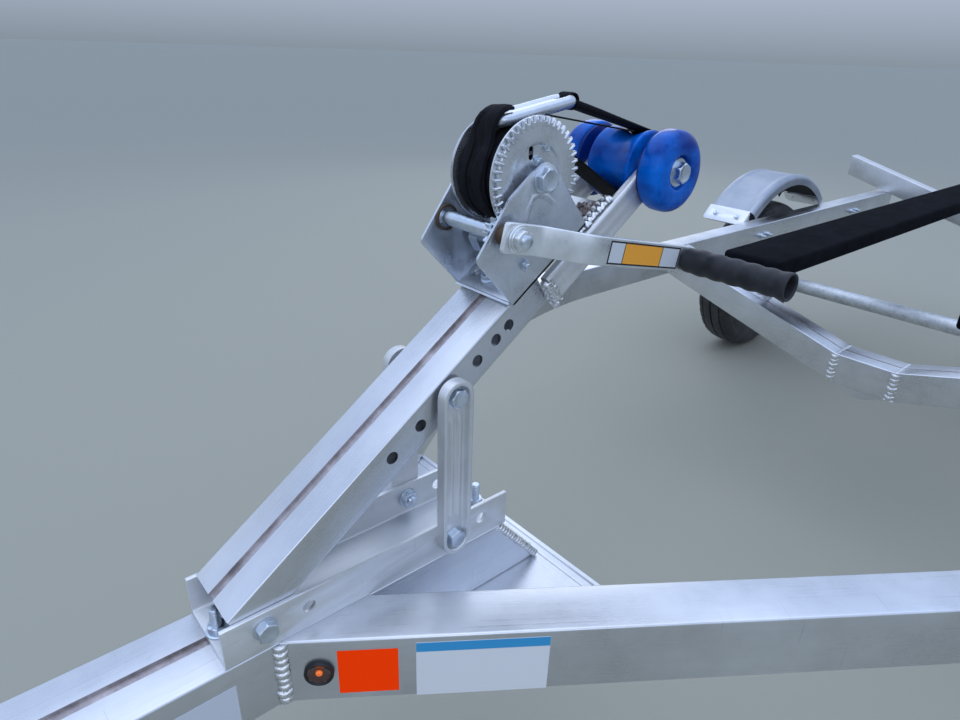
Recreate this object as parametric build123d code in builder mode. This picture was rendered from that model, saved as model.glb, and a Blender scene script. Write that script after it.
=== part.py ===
from build123d import *
import os
from math import sin, cos, tan, asin, acos, atan2, degrees, radians

os.makedirs("parts", exist_ok=True)

# Frame: +X towards the tow vehicle, +Y left, +Z up, ground at z = 0, millimetres
TOP = 549.0
NOSE_X = 2061.0
BRACKET_X = 1221.0
# distances behind the winch bracket's front
MITRE_TOP_BACK = 328.0
MITRE_LOW_BACK = 396.0
GUSSET_FRONT_BACK = 62.0
GUSSET_BACK = 401.0
BEND_BACK = 1243.0
BUNK_BACK = 1420.0
VEE_BACK = 1590.0
AXLE_BACK = 2405.0
REAR_BACK = 3200.0
RAIL_BACK = 3262.0
TUBE_H = 80.0
TONGUE_HALF = 44.5
RAIL_W = 59.0
WALL = 4.0
UNDER = TOP - TUBE_H

# Post frame: along the post, and square to its front face
POST_ANGLE = 35.3
POST_FOOT_X = BRACKET_X - 9.0
POST_FOOT_Z = TOP + 48.0
POST_DX = -cos(radians(POST_ANGLE))
POST_DZ = sin(radians(POST_ANGLE))
POST_SIDE = Plane(origin=(POST_FOOT_X, 0, POST_FOOT_Z), x_dir=(POST_DX, 0, POST_DZ), z_dir=(0, 1, 0))

# Wheels and axle
AXLE_X = BRACKET_X - AXLE_BACK
AXLE_Z = 287.0
TYRE_R = 287.0
TYRE_Y = 737.0
TYRE_W = 136.0

# Rails: straight from the tongue, a long bend, then parallel
RAIL_IN_Y = 592.0
RAIL_OUT_Y = RAIL_IN_Y + RAIL_W
RAIL_DEG = 35.3
BEND_X = BRACKET_X - BEND_BACK
BEND_R = 1000.0
BEND_Y = RAIL_IN_Y - BEND_R
RAIL_REAR_X = BRACKET_X - RAIL_BACK
RAIL_C = cos(radians(RAIL_DEG))
RAIL_S = sin(radians(RAIL_DEG))


# Tongue: box tube, groove along its top, rear end cut at a slant
MITRE_TOP_X = BRACKET_X - MITRE_TOP_BACK
MITRE_LOW_X = BRACKET_X - MITRE_LOW_BACK
TONGUE_FRONT_X = NOSE_X - 130.0
with BuildPart() as tongue:
    with BuildSketch(Plane.XZ):
        with BuildLine():
            Polyline((TONGUE_FRONT_X, UNDER), (TONGUE_FRONT_X, TOP), (MITRE_TOP_X, TOP), (MITRE_LOW_X, UNDER), close=True)
        make_face()
    extrude(amount=TONGUE_HALF, both=True)
    with BuildSketch(Plane.XZ):
        with BuildLine():
            Polyline((TONGUE_FRONT_X + 5, UNDER + WALL), (TONGUE_FRONT_X + 5, TOP - WALL), (MITRE_TOP_X - 60, TOP - WALL), (MITRE_LOW_X - 60, UNDER + WALL), close=True)
        make_face()
    extrude(amount=TONGUE_HALF - WALL, both=True, mode=Mode.SUBTRACT)
    with Locations(((TONGUE_FRONT_X + MITRE_TOP_X) / 2, 0, TOP)):
        Box(1500, 8, 3, mode=Mode.SUBTRACT)
tongue.part.label = "tongue"
export_step(tongue.part, "parts/tongue.step")


# Rails: the outer and the inner outline of the tube, seen from above
def rail_outline(inset, past):
    edge_in = RAIL_IN_Y + inset
    edge_out = RAIL_OUT_Y - inset
    r_in = edge_in - BEND_Y
    r_out = edge_out - BEND_Y
    in_start = (BEND_X + r_in * RAIL_S, BEND_Y + r_in * RAIL_C)
    out_start = (BEND_X + r_out * RAIL_S, BEND_Y + r_out * RAIL_C)
    y_front = TONGUE_HALF - past
    in_front = (in_start[0] + (in_start[1] - y_front) / tan(radians(RAIL_DEG)), y_front)
    out_front = (out_start[0] + (out_start[1] - y_front) / tan(radians(RAIL_DEG)), y_front)
    x_rear = RAIL_REAR_X - past
    half = radians(RAIL_DEG / 2)
    in_mid = (BEND_X + r_in * sin(half), BEND_Y + r_in * cos(half))
    out_mid = (BEND_X + r_out * sin(half), BEND_Y + r_out * cos(half))
    return in_front, in_start, in_mid, edge_in, out_front, out_start, out_mid, edge_out, x_rear


with BuildPart() as rail_left:
    for inset, past, z, height, mode in ((0, 0, UNDER, TUBE_H, Mode.ADD), (WALL, 12, UNDER + WALL, TUBE_H - 2 * WALL, Mode.SUBTRACT)):
        in_front, in_start, in_mid, edge_in, out_front, out_start, out_mid, edge_out, x_rear = rail_outline(inset, past)
        with BuildSketch(Plane.XY.offset(z)):
            with BuildLine():
                Line(out_front, out_start)
                ThreePointArc(out_start, out_mid, (BEND_X, edge_out))
                Line((BEND_X, edge_out), (x_rear, edge_out))
                Line((x_rear, edge_out), (x_rear, edge_in))
                Line((x_rear, edge_in), (BEND_X, edge_in))
                ThreePointArc((BEND_X, edge_in), in_mid, in_start)
                Line(in_start, in_front)
                Line(in_front, out_front)
            make_face()
        extrude(amount=height, mode=mode)
rail_left.part.label = "rail_left"
export_step(rail_left.part, "parts/rail_left.step")

with BuildPart() as rail_right:
    add(rail_left.part.mirror(Plane.XZ))
rail_right.part.label = "rail_right"
export_step(rail_right.part, "parts/rail_right.step")


# Gusset plate under the tongue and rails, with the narrow bar across its rear edge
GUSSET_FRONT_X = BRACKET_X - GUSSET_FRONT_BACK
GUSSET_REAR_X = BRACKET_X - GUSSET_BACK
GUSSET_FRONT_HALF = 40.0
GUSSET_HALF = 250.0
BAR_L = 520.0
BAR_W = 20.0
BAR_H = 38.0
BAR_WALL = 4.0
with BuildPart() as gusset_plate:
    with BuildSketch(Plane.XY.offset(UNDER - 5)):
        with BuildLine():
            Polyline((GUSSET_FRONT_X, GUSSET_FRONT_HALF), (GUSSET_REAR_X, GUSSET_HALF), (GUSSET_REAR_X, -GUSSET_HALF), (GUSSET_FRONT_X, -GUSSET_FRONT_HALF), close=True)
        make_face()
    extrude(amount=5)
    with Locations((GUSSET_REAR_X - BAR_W / 2, 0, UNDER - BAR_H / 2)):
        Box(BAR_W, BAR_L, BAR_H)
    with Locations((GUSSET_REAR_X - BAR_W / 2, 0, UNDER - BAR_H / 2 - BAR_WALL)):
        Box(BAR_W - 2 * BAR_WALL, BAR_L + 4, BAR_H, mode=Mode.SUBTRACT)
gusset_plate.part.label = "gusset_plate"
export_step(gusset_plate.part, "parts/gusset_plate.step")


# Front V cross-member: two sloped arms and a flat middle, its ends butted against the rails' inner faces
VEE_X = BRACKET_X - VEE_BACK
VEE_D = 89.0
VEE_MID = 72.0
VEE_TOP = 392.0
VEE_H = 77.0
VEE_DROP = 3.0
VEE_END_TOP = TOP - VEE_DROP
VEE_SLOPE = (VEE_END_TOP - VEE_TOP) / (RAIL_IN_Y - VEE_MID)
# across, top and bottom of the outline's corners: at the rails and beside the middle
VEE_CORNERS = (
    (-RAIL_IN_Y, VEE_END_TOP),
    (-VEE_MID, VEE_TOP),
    (VEE_MID, VEE_TOP),
    (RAIL_IN_Y, VEE_END_TOP),
)
VEE_PAST = 10.0
VEE_IN_TOP = VEE_END_TOP + VEE_PAST * VEE_SLOPE - WALL
with BuildPart() as cross_member_front:
    with BuildSketch(Plane.YZ.offset(VEE_X - VEE_D)):
        with BuildLine():
            Polyline(*VEE_CORNERS, *((y, z - VEE_H) for y, z in VEE_CORNERS[::-1]), close=True)
        make_face()
    extrude(amount=VEE_D)
    # the hollow runs out of both ends
    VEE_HOLLOW = (
        (-RAIL_IN_Y - VEE_PAST, VEE_IN_TOP),
        (-VEE_MID, VEE_TOP - WALL),
        (VEE_MID, VEE_TOP - WALL),
        (RAIL_IN_Y + VEE_PAST, VEE_IN_TOP),
    )
    VEE_IN_H = VEE_H - 2 * WALL
    with BuildSketch(Plane.YZ.offset(VEE_X - VEE_D + WALL)):
        with BuildLine():
            Polyline(*VEE_HOLLOW, *((y, z - VEE_IN_H) for y, z in VEE_HOLLOW[::-1]), close=True)
        make_face()
    extrude(amount=VEE_D - 2 * WALL, mode=Mode.SUBTRACT)
    # keel plate under the middle
    with BuildSketch(Plane.YZ.offset(VEE_X - 6)):
        with BuildLine():
            Polyline((-VEE_MID, VEE_TOP - VEE_H), (VEE_MID, VEE_TOP - VEE_H), (0, VEE_TOP - VEE_H - 24), close=True)
        make_face()
    extrude(amount=6)
cross_member_front.part.label = "cross_member_front"
export_step(cross_member_front.part, "parts/cross_member_front.step")


# Rear V cross-member: sits on the rails and carries the lamps on its raised ends
REAR_X = BRACKET_X - REAR_BACK
REAR_D = 60.0
REAR_H = 83.0
REAR_END = 776.0
REAR_MID = 72.0
REAR_SLOPE = 0.29
REAR_MID_TOP = TOP + REAR_H - (RAIL_IN_Y - REAR_MID) * REAR_SLOPE
REAR_END_TOP = REAR_MID_TOP + (REAR_END - REAR_MID) * REAR_SLOPE
with BuildPart() as cross_member_rear:
    with BuildSketch(Plane.YZ.offset(REAR_X - REAR_D)):
        with BuildLine():
            Polyline((-REAR_END, REAR_END_TOP), (-REAR_MID, REAR_MID_TOP), (REAR_MID, REAR_MID_TOP), (REAR_END, REAR_END_TOP), (REAR_END, REAR_END_TOP - REAR_H), (RAIL_OUT_Y, TOP + RAIL_W * REAR_SLOPE), (RAIL_OUT_Y, TOP), (RAIL_IN_Y, TOP), (REAR_MID, REAR_MID_TOP - REAR_H), (-REAR_MID, REAR_MID_TOP - REAR_H), (-RAIL_IN_Y, TOP), (-RAIL_OUT_Y, TOP), (-RAIL_OUT_Y, TOP + RAIL_W * REAR_SLOPE), (-REAR_END, REAR_END_TOP - REAR_H), close=True)
        make_face()
    extrude(amount=REAR_D)
    REAR_IN = REAR_END + 10
    REAR_IN_TOP = REAR_MID_TOP - WALL + (REAR_IN - REAR_MID) * REAR_SLOPE
    with BuildSketch(Plane.YZ.offset(REAR_X - REAR_D + WALL)):
        with BuildLine():
            Polyline((-REAR_IN, REAR_IN_TOP), (-REAR_MID, REAR_MID_TOP - WALL), (REAR_MID, REAR_MID_TOP - WALL), (REAR_IN, REAR_IN_TOP), (REAR_IN, REAR_IN_TOP - REAR_H + 2 * WALL), (REAR_MID, REAR_MID_TOP - REAR_H + WALL), (-REAR_MID, REAR_MID_TOP - REAR_H + WALL), (-REAR_IN, REAR_IN_TOP - REAR_H + 2 * WALL), close=True)
        make_face()
    extrude(amount=REAR_D - 2 * WALL, mode=Mode.SUBTRACT)
cross_member_rear.part.label = "cross_member_rear"
export_step(cross_member_rear.part, "parts/cross_member_rear.step")


# Axle tube with a spindle at each end
AXLE_R = 25.0
SPINDLE_R = 14.0
with BuildPart() as axle:
    with Locations(Location((AXLE_X, 0, AXLE_Z), (90, 0, 0))):
        Cylinder(AXLE_R, 2 * 662)
        Cylinder(SPINDLE_R, 2 * 748)
    for side in (-1, 1):
        with Locations((AXLE_X, side * 621, AXLE_Z + AXLE_R + 1)):
            Box(110, 46, 8)
axle.part.label = "axle"
export_step(axle.part, "parts/axle.step")


# Leaf springs: three leaves in one arc, an eye in front and a slipper end behind
SPRING_Y = 621.0
SPRING_W = 44.0
SPRING_Z = AXLE_Z + AXLE_R + 5.0
SPRING_HALF = 330.0
EYE_Z = 425.0
with BuildPart() as spring_left:
    with BuildSketch(Plane.XZ.offset(-SPRING_Y)):
        with BuildLine():
            ThreePointArc((AXLE_X - SPRING_HALF, EYE_Z), (AXLE_X, SPRING_Z), (AXLE_X + SPRING_HALF, EYE_Z))
            Line((AXLE_X + SPRING_HALF, EYE_Z), (AXLE_X + SPRING_HALF, EYE_Z + 9))
            ThreePointArc((AXLE_X + SPRING_HALF, EYE_Z + 9), (AXLE_X, SPRING_Z + 24), (AXLE_X - SPRING_HALF, EYE_Z + 9))
            Line((AXLE_X - SPRING_HALF, EYE_Z + 9), (AXLE_X - SPRING_HALF, EYE_Z))
        make_face()
        with Locations((AXLE_X + SPRING_HALF + 8, EYE_Z + 4.5)):
            Circle(17)
            Circle(8.4, mode=Mode.SUBTRACT)
    extrude(amount=SPRING_W / 2, both=True)
spring_left.part.label = "spring_left"
export_step(spring_left.part, "parts/spring_left.step")

with BuildPart() as spring_right:
    add(spring_left.part.mirror(Plane.XZ))
spring_right.part.label = "spring_right"
export_step(spring_right.part, "parts/spring_right.step")


# Spring hangers: pairs of plates under each rail with a bolt through the eye or over the slipper
HANGERS = (
    # x of the bolt, z of the bolt
    (AXLE_X + SPRING_HALF + 8, EYE_Z + 4.5),
    (AXLE_X - SPRING_HALF + 18, EYE_Z + 19.0),
)
with BuildPart() as spring_hangers:
    for side in (-1, 1):
        for bolt_x, bolt_z in HANGERS:
            for plate_y in (-25.5, 25.5):
                with BuildSketch(Plane.XZ.offset(-(side * SPRING_Y + plate_y))):
                    with BuildLine():
                        Polyline((bolt_x - 42, UNDER), (bolt_x + 42, UNDER), (bolt_x + 18, bolt_z - 20), (bolt_x - 18, bolt_z - 20), close=True)
                    make_face()
                extrude(amount=2.5, both=True)
            with Locations((bolt_x, side * SPRING_Y, UNDER - 2.5)):
                Box(84, 56, 5)
            with Locations(Location((bolt_x, side * SPRING_Y, bolt_z), (90, 0, 0))):
                Cylinder(8.0, 66)
spring_hangers.part.label = "spring_hangers"
export_step(spring_hangers.part, "parts/spring_hangers.step")


# Axle clamps: U-bolts over the springs and a plate under the axle tube
with BuildPart() as axle_clamps:
    for side in (-1, 1):
        with Locations((AXLE_X, side * SPRING_Y, AXLE_Z - AXLE_R - 4.0)):
            Box(100, 90, 8)
        for dx in (-34, 34):
            for dy in (-28, 28):
                with Locations((AXLE_X + dx, side * SPRING_Y + dy, (AXLE_Z - AXLE_R - 18 + SPRING_Z + 34) / 2)):
                    Cylinder(5, SPRING_Z + 34 - AXLE_Z + AXLE_R + 18)
            with Locations((AXLE_X + dx, side * SPRING_Y, SPRING_Z + 35.5)):
                Box(10, 66, 10)
axle_clamps.part.label = "axle_clamps"
export_step(axle_clamps.part, "parts/axle_clamps.step")


# Hub, rim and tyre on the left, then the same on the right
WHEEL = Plane(origin=(AXLE_X, TYRE_Y, AXLE_Z), x_dir=(1, 0, 0), z_dir=(0, 1, 0))
STUD_PCD = 114.3
with BuildPart() as hub_left:
    with BuildSketch(Plane(origin=(AXLE_X, TYRE_Y, AXLE_Z), x_dir=(1, 0, 0), z_dir=(0, 0, 1))):
        with BuildLine():
            Polyline((14.4, -64), (38, -64), (38, -20), (74, -14), (74, -4.3), (34, -4.3), (34, 34), (20, 44), (0, 44), (0, 20), (14.4, 20), close=True)
        make_face()
    revolve(axis=Axis(origin=(AXLE_X, TYRE_Y, AXLE_Z), direction=(0, 1, 0)))
    with BuildSketch(WHEEL.offset(-10)):
        with PolarLocations(STUD_PCD / 2, 5):
            Circle(6.0)
    extrude(amount=38)
hub_left.part.label = "hub_left"
export_step(hub_left.part, "parts/hub_left.step")

RIM_R = 152.0
RIM_HALF = 51.0
with BuildPart() as rim_left:
    with BuildSketch(Plane(origin=(AXLE_X, TYRE_Y, AXLE_Z), x_dir=(1, 0, 0), z_dir=(0, 0, 1))):
        with BuildLine():
            Polyline((35, -4), (92, -4), (104, 14), (122, 14), (122, -34), (140, -40), (140, -RIM_HALF), (164, -RIM_HALF - 2), (164, -RIM_HALF + 1), (143.5, -RIM_HALF + 4), (143.5, -37), (126, -31), (126, 31), (143.5, 37), (143.5, RIM_HALF - 4), (164, RIM_HALF - 1), (164, RIM_HALF + 2), (140, RIM_HALF), (140, 40), (122, 34), (122, 18), (101, 18), (90, 0), (35, 0), close=True)
        make_face()
    revolve(axis=Axis(origin=(AXLE_X, TYRE_Y, AXLE_Z), direction=(0, 1, 0)))
    with BuildSketch(WHEEL.offset(-6)):
        with PolarLocations(STUD_PCD / 2, 5):
            Circle(6.4)
    extrude(amount=10, mode=Mode.SUBTRACT)
rim_left.part.label = "rim_left"
export_step(rim_left.part, "parts/rim_left.step")

with BuildPart() as tyre_left:
    with BuildSketch(Plane(origin=(AXLE_X, TYRE_Y, AXLE_Z), x_dir=(1, 0, 0), z_dir=(0, 0, 1))):
        with BuildLine():
            Polyline((144, -46.5), (165, -49.2), (178, -58))
            ThreePointArc((178, -58), (225, -TYRE_W / 2), (272, -55))
            ThreePointArc((272, -55), (TYRE_R, 0), (272, 55))
            ThreePointArc((272, 55), (225, TYRE_W / 2), (178, 58))
            Polyline((178, 58), (165, 49.2), (144, 46.5), (144, 38), (170, 40), (250, 48), (262, 0), (250, -48), (170, -40), (144, -38), (144, -46.5))
        make_face()
    revolve(axis=Axis(origin=(AXLE_X, TYRE_Y, AXLE_Z), direction=(0, 1, 0)))
tyre_left.part.label = "tyre_left"
export_step(tyre_left.part, "parts/tyre_left.step")

with BuildPart() as hub_right:
    add(hub_left.part.mirror(Plane.XZ))
hub_right.part.label = "hub_right"
export_step(hub_right.part, "parts/hub_right.step")

with BuildPart() as rim_right:
    add(rim_left.part.mirror(Plane.XZ))
rim_right.part.label = "rim_right"
export_step(rim_right.part, "parts/rim_right.step")

with BuildPart() as tyre_right:
    add(tyre_left.part.mirror(Plane.XZ))
tyre_right.part.label = "tyre_right"
export_step(tyre_right.part, "parts/tyre_right.step")


# Fenders: an arched sheet over the tyre, a skirt at each side and a flat lip at each end
FENDER_R = 398.0
SKIRT_R = 360.0
FENDER_IN = 640.0
FENDER_REACH = 159.0
FENDER_OUT = RAIL_OUT_Y + FENDER_REACH
FENDER_DEG = 47.0
FENDER_T = 3.0
LIP_L = 60.0
FENDER_C = cos(radians(FENDER_DEG))
FENDER_S = sin(radians(FENDER_DEG))
FENDER_CUTS = (
    # outer face's y, depth in y, outer radius, inner radius, mode
    (FENDER_OUT, FENDER_OUT - FENDER_IN, FENDER_R, SKIRT_R, Mode.ADD),
    (FENDER_OUT - FENDER_T, FENDER_OUT - FENDER_IN - 2 * FENDER_T, FENDER_R - FENDER_T, SKIRT_R - 30, Mode.SUBTRACT),
)
with BuildPart() as fender_left:
    for face_y, depth, r_out, r_in, mode in FENDER_CUTS:
        with BuildSketch(Plane.XZ.offset(-face_y)):
            with BuildLine():
                ThreePointArc((AXLE_X + r_out * FENDER_C, AXLE_Z + r_out * FENDER_S), (AXLE_X, AXLE_Z + r_out), (AXLE_X - r_out * FENDER_C, AXLE_Z + r_out * FENDER_S))
                Line((AXLE_X - r_out * FENDER_C, AXLE_Z + r_out * FENDER_S), (AXLE_X - r_in * FENDER_C, AXLE_Z + r_in * FENDER_S))
                ThreePointArc((AXLE_X - r_in * FENDER_C, AXLE_Z + r_in * FENDER_S), (AXLE_X, AXLE_Z + r_in), (AXLE_X + r_in * FENDER_C, AXLE_Z + r_in * FENDER_S))
                Line((AXLE_X + r_in * FENDER_C, AXLE_Z + r_in * FENDER_S), (AXLE_X + r_out * FENDER_C, AXLE_Z + r_out * FENDER_S))
            make_face()
        extrude(amount=depth, mode=mode)
    for fore in (-1, 1):
        lip_x = AXLE_X + fore * (FENDER_R - FENDER_T / 2) * FENDER_C
        lip_z = AXLE_Z + (FENDER_R - FENDER_T / 2) * FENDER_S
        with BuildSketch(Plane(origin=(lip_x, FENDER_OUT, lip_z), x_dir=(fore * FENDER_S, 0, -FENDER_C), z_dir=(0, -1, 0))):
            with Locations((LIP_L / 2 - 2, 0)):
                Rectangle(LIP_L + 4, FENDER_T)
        extrude(amount=FENDER_OUT - RAIL_OUT_Y - 1)
        for bolt_y in (RAIL_OUT_Y + 38, FENDER_OUT - 38):
            with BuildSketch(Plane(origin=(lip_x + fore * FENDER_S * LIP_L / 2 - fore * FENDER_C * 6, bolt_y, lip_z - FENDER_C * LIP_L / 2 - FENDER_S * 6), z_dir=(fore * FENDER_C, 0, FENDER_S))):
                Circle(4.3)
            extrude(amount=12, mode=Mode.SUBTRACT)
fender_left.part.label = "fender_left"
export_step(fender_left.part, "parts/fender_left.step")

with BuildPart() as fender_right:
    add(fender_left.part.mirror(Plane.XZ))
fender_right.part.label = "fender_right"
export_step(fender_right.part, "parts/fender_right.step")


# Fender brackets: a sloped shelf under each lip with a web, welded to the rail's outer face, and two bolts
SHELF_T = 5.0
with BuildPart() as fender_brackets:
    for side in (-1, 1):
        for fore in (-1, 1):
            lip_x = AXLE_X + fore * (FENDER_R - FENDER_T) * FENDER_C
            lip_z = AXLE_Z + (FENDER_R - FENDER_T) * FENDER_S
            low_x = lip_x + fore * FENDER_S * LIP_L
            low_z = lip_z - FENDER_C * LIP_L
            with BuildSketch(Plane(origin=(lip_x, side * RAIL_OUT_Y, lip_z), x_dir=(fore * FENDER_S, 0, -FENDER_C), z_dir=(0, side, 0))):
                with Locations((LIP_L / 2 + 2, fore * side * SHELF_T / 2)):
                    Rectangle(LIP_L - 6, SHELF_T)
            extrude(amount=FENDER_OUT - 12 - RAIL_OUT_Y)
            with BuildSketch(Plane(origin=(0, side * (RAIL_OUT_Y + 3), 0), x_dir=(1, 0, 0), z_dir=(0, -1, 0))):
                with BuildLine():
                    Polyline((lip_x + fore * 3, lip_z - 6), (low_x - fore * 2, low_z - 2), (low_x - fore * 2, UNDER + 12), (lip_x + fore * 3, UNDER + 12), close=True)
                make_face()
            extrude(amount=3, both=True)
            for bolt_y in (RAIL_OUT_Y + 38, FENDER_OUT - 38):
                bolt_x = lip_x + fore * FENDER_S * LIP_L / 2
                bolt_z = lip_z - FENDER_C * LIP_L / 2
                with BuildSketch(Plane(origin=(bolt_x - fore * FENDER_C * 8, side * bolt_y, bolt_z - FENDER_S * 8), z_dir=(fore * FENDER_C, 0, FENDER_S))):
                    Circle(4.0)
                extrude(amount=12)
                with BuildSketch(Plane(origin=(bolt_x + fore * FENDER_C * FENDER_T, side * bolt_y, bolt_z + FENDER_S * FENDER_T), z_dir=(fore * FENDER_C, 0, FENDER_S))):
                    RegularPolygon(7.5, 6)
                extrude(amount=5)
fender_brackets.part.label = "fender_brackets"
export_step(fender_brackets.part, "parts/fender_brackets.step")


# Bunks: long boards, carpeted
BUNK_Y = 260.0
BUNK_W = 146.0
BUNK_T = 44.0
BUNK_TOP = TOP + 80.0
BUNK_X0 = BRACKET_X - BUNK_BACK
BUNK_X1 = RAIL_REAR_X
for side, name in ((1, "bunk_left"), (-1, "bunk_right")):
    with BuildPart() as bunk:
        with Locations(((BUNK_X0 + BUNK_X1) / 2, side * BUNK_Y, BUNK_TOP - BUNK_T / 2)):
            Box(BUNK_X0 - BUNK_X1, BUNK_W, BUNK_T)
        fillet(bunk.edges().filter_by(Axis.X), 7)
    bunk.part.label = name
    export_step(bunk.part, "parts/" + name + ".step")


# Bunk brackets: an angle on each cross-member, its foot pointing outwards, with a pad under the board
UPRIGHT_OUT = 45.0
UPRIGHT_T = 10.0
UPRIGHT_L = 50.0
FOOT_W = 62.0
FOOT_T = 7.0
PAD_HALF = 55.0
PAD_T = 6.0
FRONT_SET_BACK = 12.0
PAD_Z = BUNK_TOP - BUNK_T
UPRIGHT_IN_Y = BUNK_Y + UPRIGHT_OUT - UPRIGHT_T / 2
UPRIGHT_OUT_Y = UPRIGHT_IN_Y + UPRIGHT_T
FOOT_Y = UPRIGHT_IN_Y + FOOT_W
UPRIGHTS = (
    # x of the middle, top of the cross-member's middle, half of that middle, slope
    (VEE_X - VEE_D / 2 - FRONT_SET_BACK, VEE_TOP, VEE_MID, VEE_SLOPE),
    (REAR_X - REAR_D / 2, REAR_MID_TOP, REAR_MID, REAR_SLOPE),
)
with BuildPart() as bunk_brackets:
    for side in (-1, 1):
        for up_x, mid_top, mid_half, slope in UPRIGHTS:
            foot_in_z = mid_top + (UPRIGHT_IN_Y - mid_half) * slope
            foot_out_z = mid_top + (FOOT_Y - mid_half) * slope
            heel_z = mid_top + (UPRIGHT_OUT_Y - mid_half) * slope + FOOT_T
            angle = (
                (UPRIGHT_IN_Y, foot_in_z),
                (FOOT_Y, foot_out_z),
                (FOOT_Y, foot_out_z + FOOT_T),
                (UPRIGHT_OUT_Y, heel_z),
                (UPRIGHT_OUT_Y, PAD_Z - PAD_T),
                (BUNK_Y + PAD_HALF, PAD_Z - PAD_T),
                (BUNK_Y + PAD_HALF, PAD_Z),
                (BUNK_Y - PAD_HALF, PAD_Z),
                (BUNK_Y - PAD_HALF, PAD_Z - PAD_T),
                (UPRIGHT_IN_Y, PAD_Z - PAD_T),
            )
            with BuildSketch(Plane.YZ.offset(up_x - UPRIGHT_L / 2)):
                with BuildLine():
                    Polyline(*((side * y, z) for y, z in angle), close=True)
                make_face()
            extrude(amount=UPRIGHT_L)
bunk_brackets.part.label = "bunk_brackets"
export_step(bunk_brackets.part, "parts/bunk_brackets.step")


# Winch post bracket: channel on the tongue
BRACKET_L = 339.0
FLANGE_H = 44.0
PLATE = 5.0
BOLT_Z = TOP + 25.0
BOLT_R = 6.35
BOLT_HOLE_R = 6.65
with BuildPart() as post_bracket:
    with Locations((BRACKET_X - BRACKET_L / 2, 0, TOP + FLANGE_H / 2)):
        Box(BRACKET_L, 2 * TONGUE_HALF, FLANGE_H)
    with Locations((BRACKET_X - BRACKET_L / 2, 0, TOP + FLANGE_H / 2 + PLATE)):
        Box(BRACKET_L + 2, 2 * (TONGUE_HALF - PLATE), FLANGE_H, mode=Mode.SUBTRACT)
    for hole_dx in (40, 84, 256, 300):
        with Locations(Location((BRACKET_X - hole_dx, 0, BOLT_Z), (90, 0, 0))):
            Cylinder(BOLT_HOLE_R, 120, mode=Mode.SUBTRACT)
post_bracket.part.label = "post_bracket"
export_step(post_bracket.part, "parts/post_bracket.step")


# Winch post: flat tube leaning back, groove down its front face
POST_L = 440.0
POST_D = 41.0
POST_HALF = 39.2
POST_HOLES = (203, 245, 288.8, 333, 363, 384)
POST_HOLE_N = -19.5
with BuildPart() as winch_post:
    with BuildSketch(POST_SIDE):
        with Locations((POST_L / 2, -POST_D / 2)):
            Rectangle(POST_L, POST_D)
    extrude(amount=POST_HALF, both=True)
    with BuildSketch(POST_SIDE):
        with Locations((POST_L / 2, -POST_D / 2)):
            Rectangle(POST_L + 10, POST_D - 2 * WALL)
    extrude(amount=POST_HALF - WALL, both=True, mode=Mode.SUBTRACT)
    with BuildSketch(POST_SIDE):
        with Locations((POST_L / 2, 0)):
            Rectangle(POST_L + 10, 3)
    extrude(amount=4, both=True, mode=Mode.SUBTRACT)
    with BuildSketch(POST_SIDE):
        with Locations(*[(s, POST_HOLE_N) for s in POST_HOLES]):
            Circle(BOLT_HOLE_R)
        with Locations((12, -36.7)):
            Circle(BOLT_HOLE_R)
    extrude(amount=60, both=True, mode=Mode.SUBTRACT)
winch_post.part.label = "winch_post"
export_step(winch_post.part, "parts/winch_post.step")


# Struts: upright channels from the bracket to the post, one each side
STRUT_X = BRACKET_X - 256.0
STRUT_LOW = BOLT_Z
STRUT_HIGH = TOP + 199.0
STRUT_W = 38.0
STRUT_T = 12.0
STRUT_Y = TONGUE_HALF
with BuildPart() as post_struts:
    for side in (-1, 1):
        outer = Plane(origin=(STRUT_X, side * STRUT_Y, 0), x_dir=(1, 0, 0), z_dir=(0, side, 0))
        flip = -1 if side > 0 else 1
        with BuildSketch(outer):
            with Locations((0, flip * (STRUT_LOW + STRUT_HIGH) / 2)):
                SlotCenterToCenter(STRUT_HIGH - STRUT_LOW, STRUT_W, rotation=90)
        extrude(amount=STRUT_T)
        with BuildSketch(outer.offset(4)):
            with Locations((0, flip * (STRUT_LOW + STRUT_HIGH) / 2)):
                SlotCenterToCenter(STRUT_HIGH - STRUT_LOW, STRUT_W - 12, rotation=90)
        extrude(amount=STRUT_T, mode=Mode.SUBTRACT)
        for hole_z in (STRUT_LOW, STRUT_HIGH):
            with BuildSketch(outer):
                with Locations((0, flip * hole_z)):
                    Circle(BOLT_HOLE_R)
            extrude(amount=STRUT_T, mode=Mode.SUBTRACT)
post_struts.part.label = "post_struts"
export_step(post_struts.part, "parts/post_struts.step")


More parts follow.
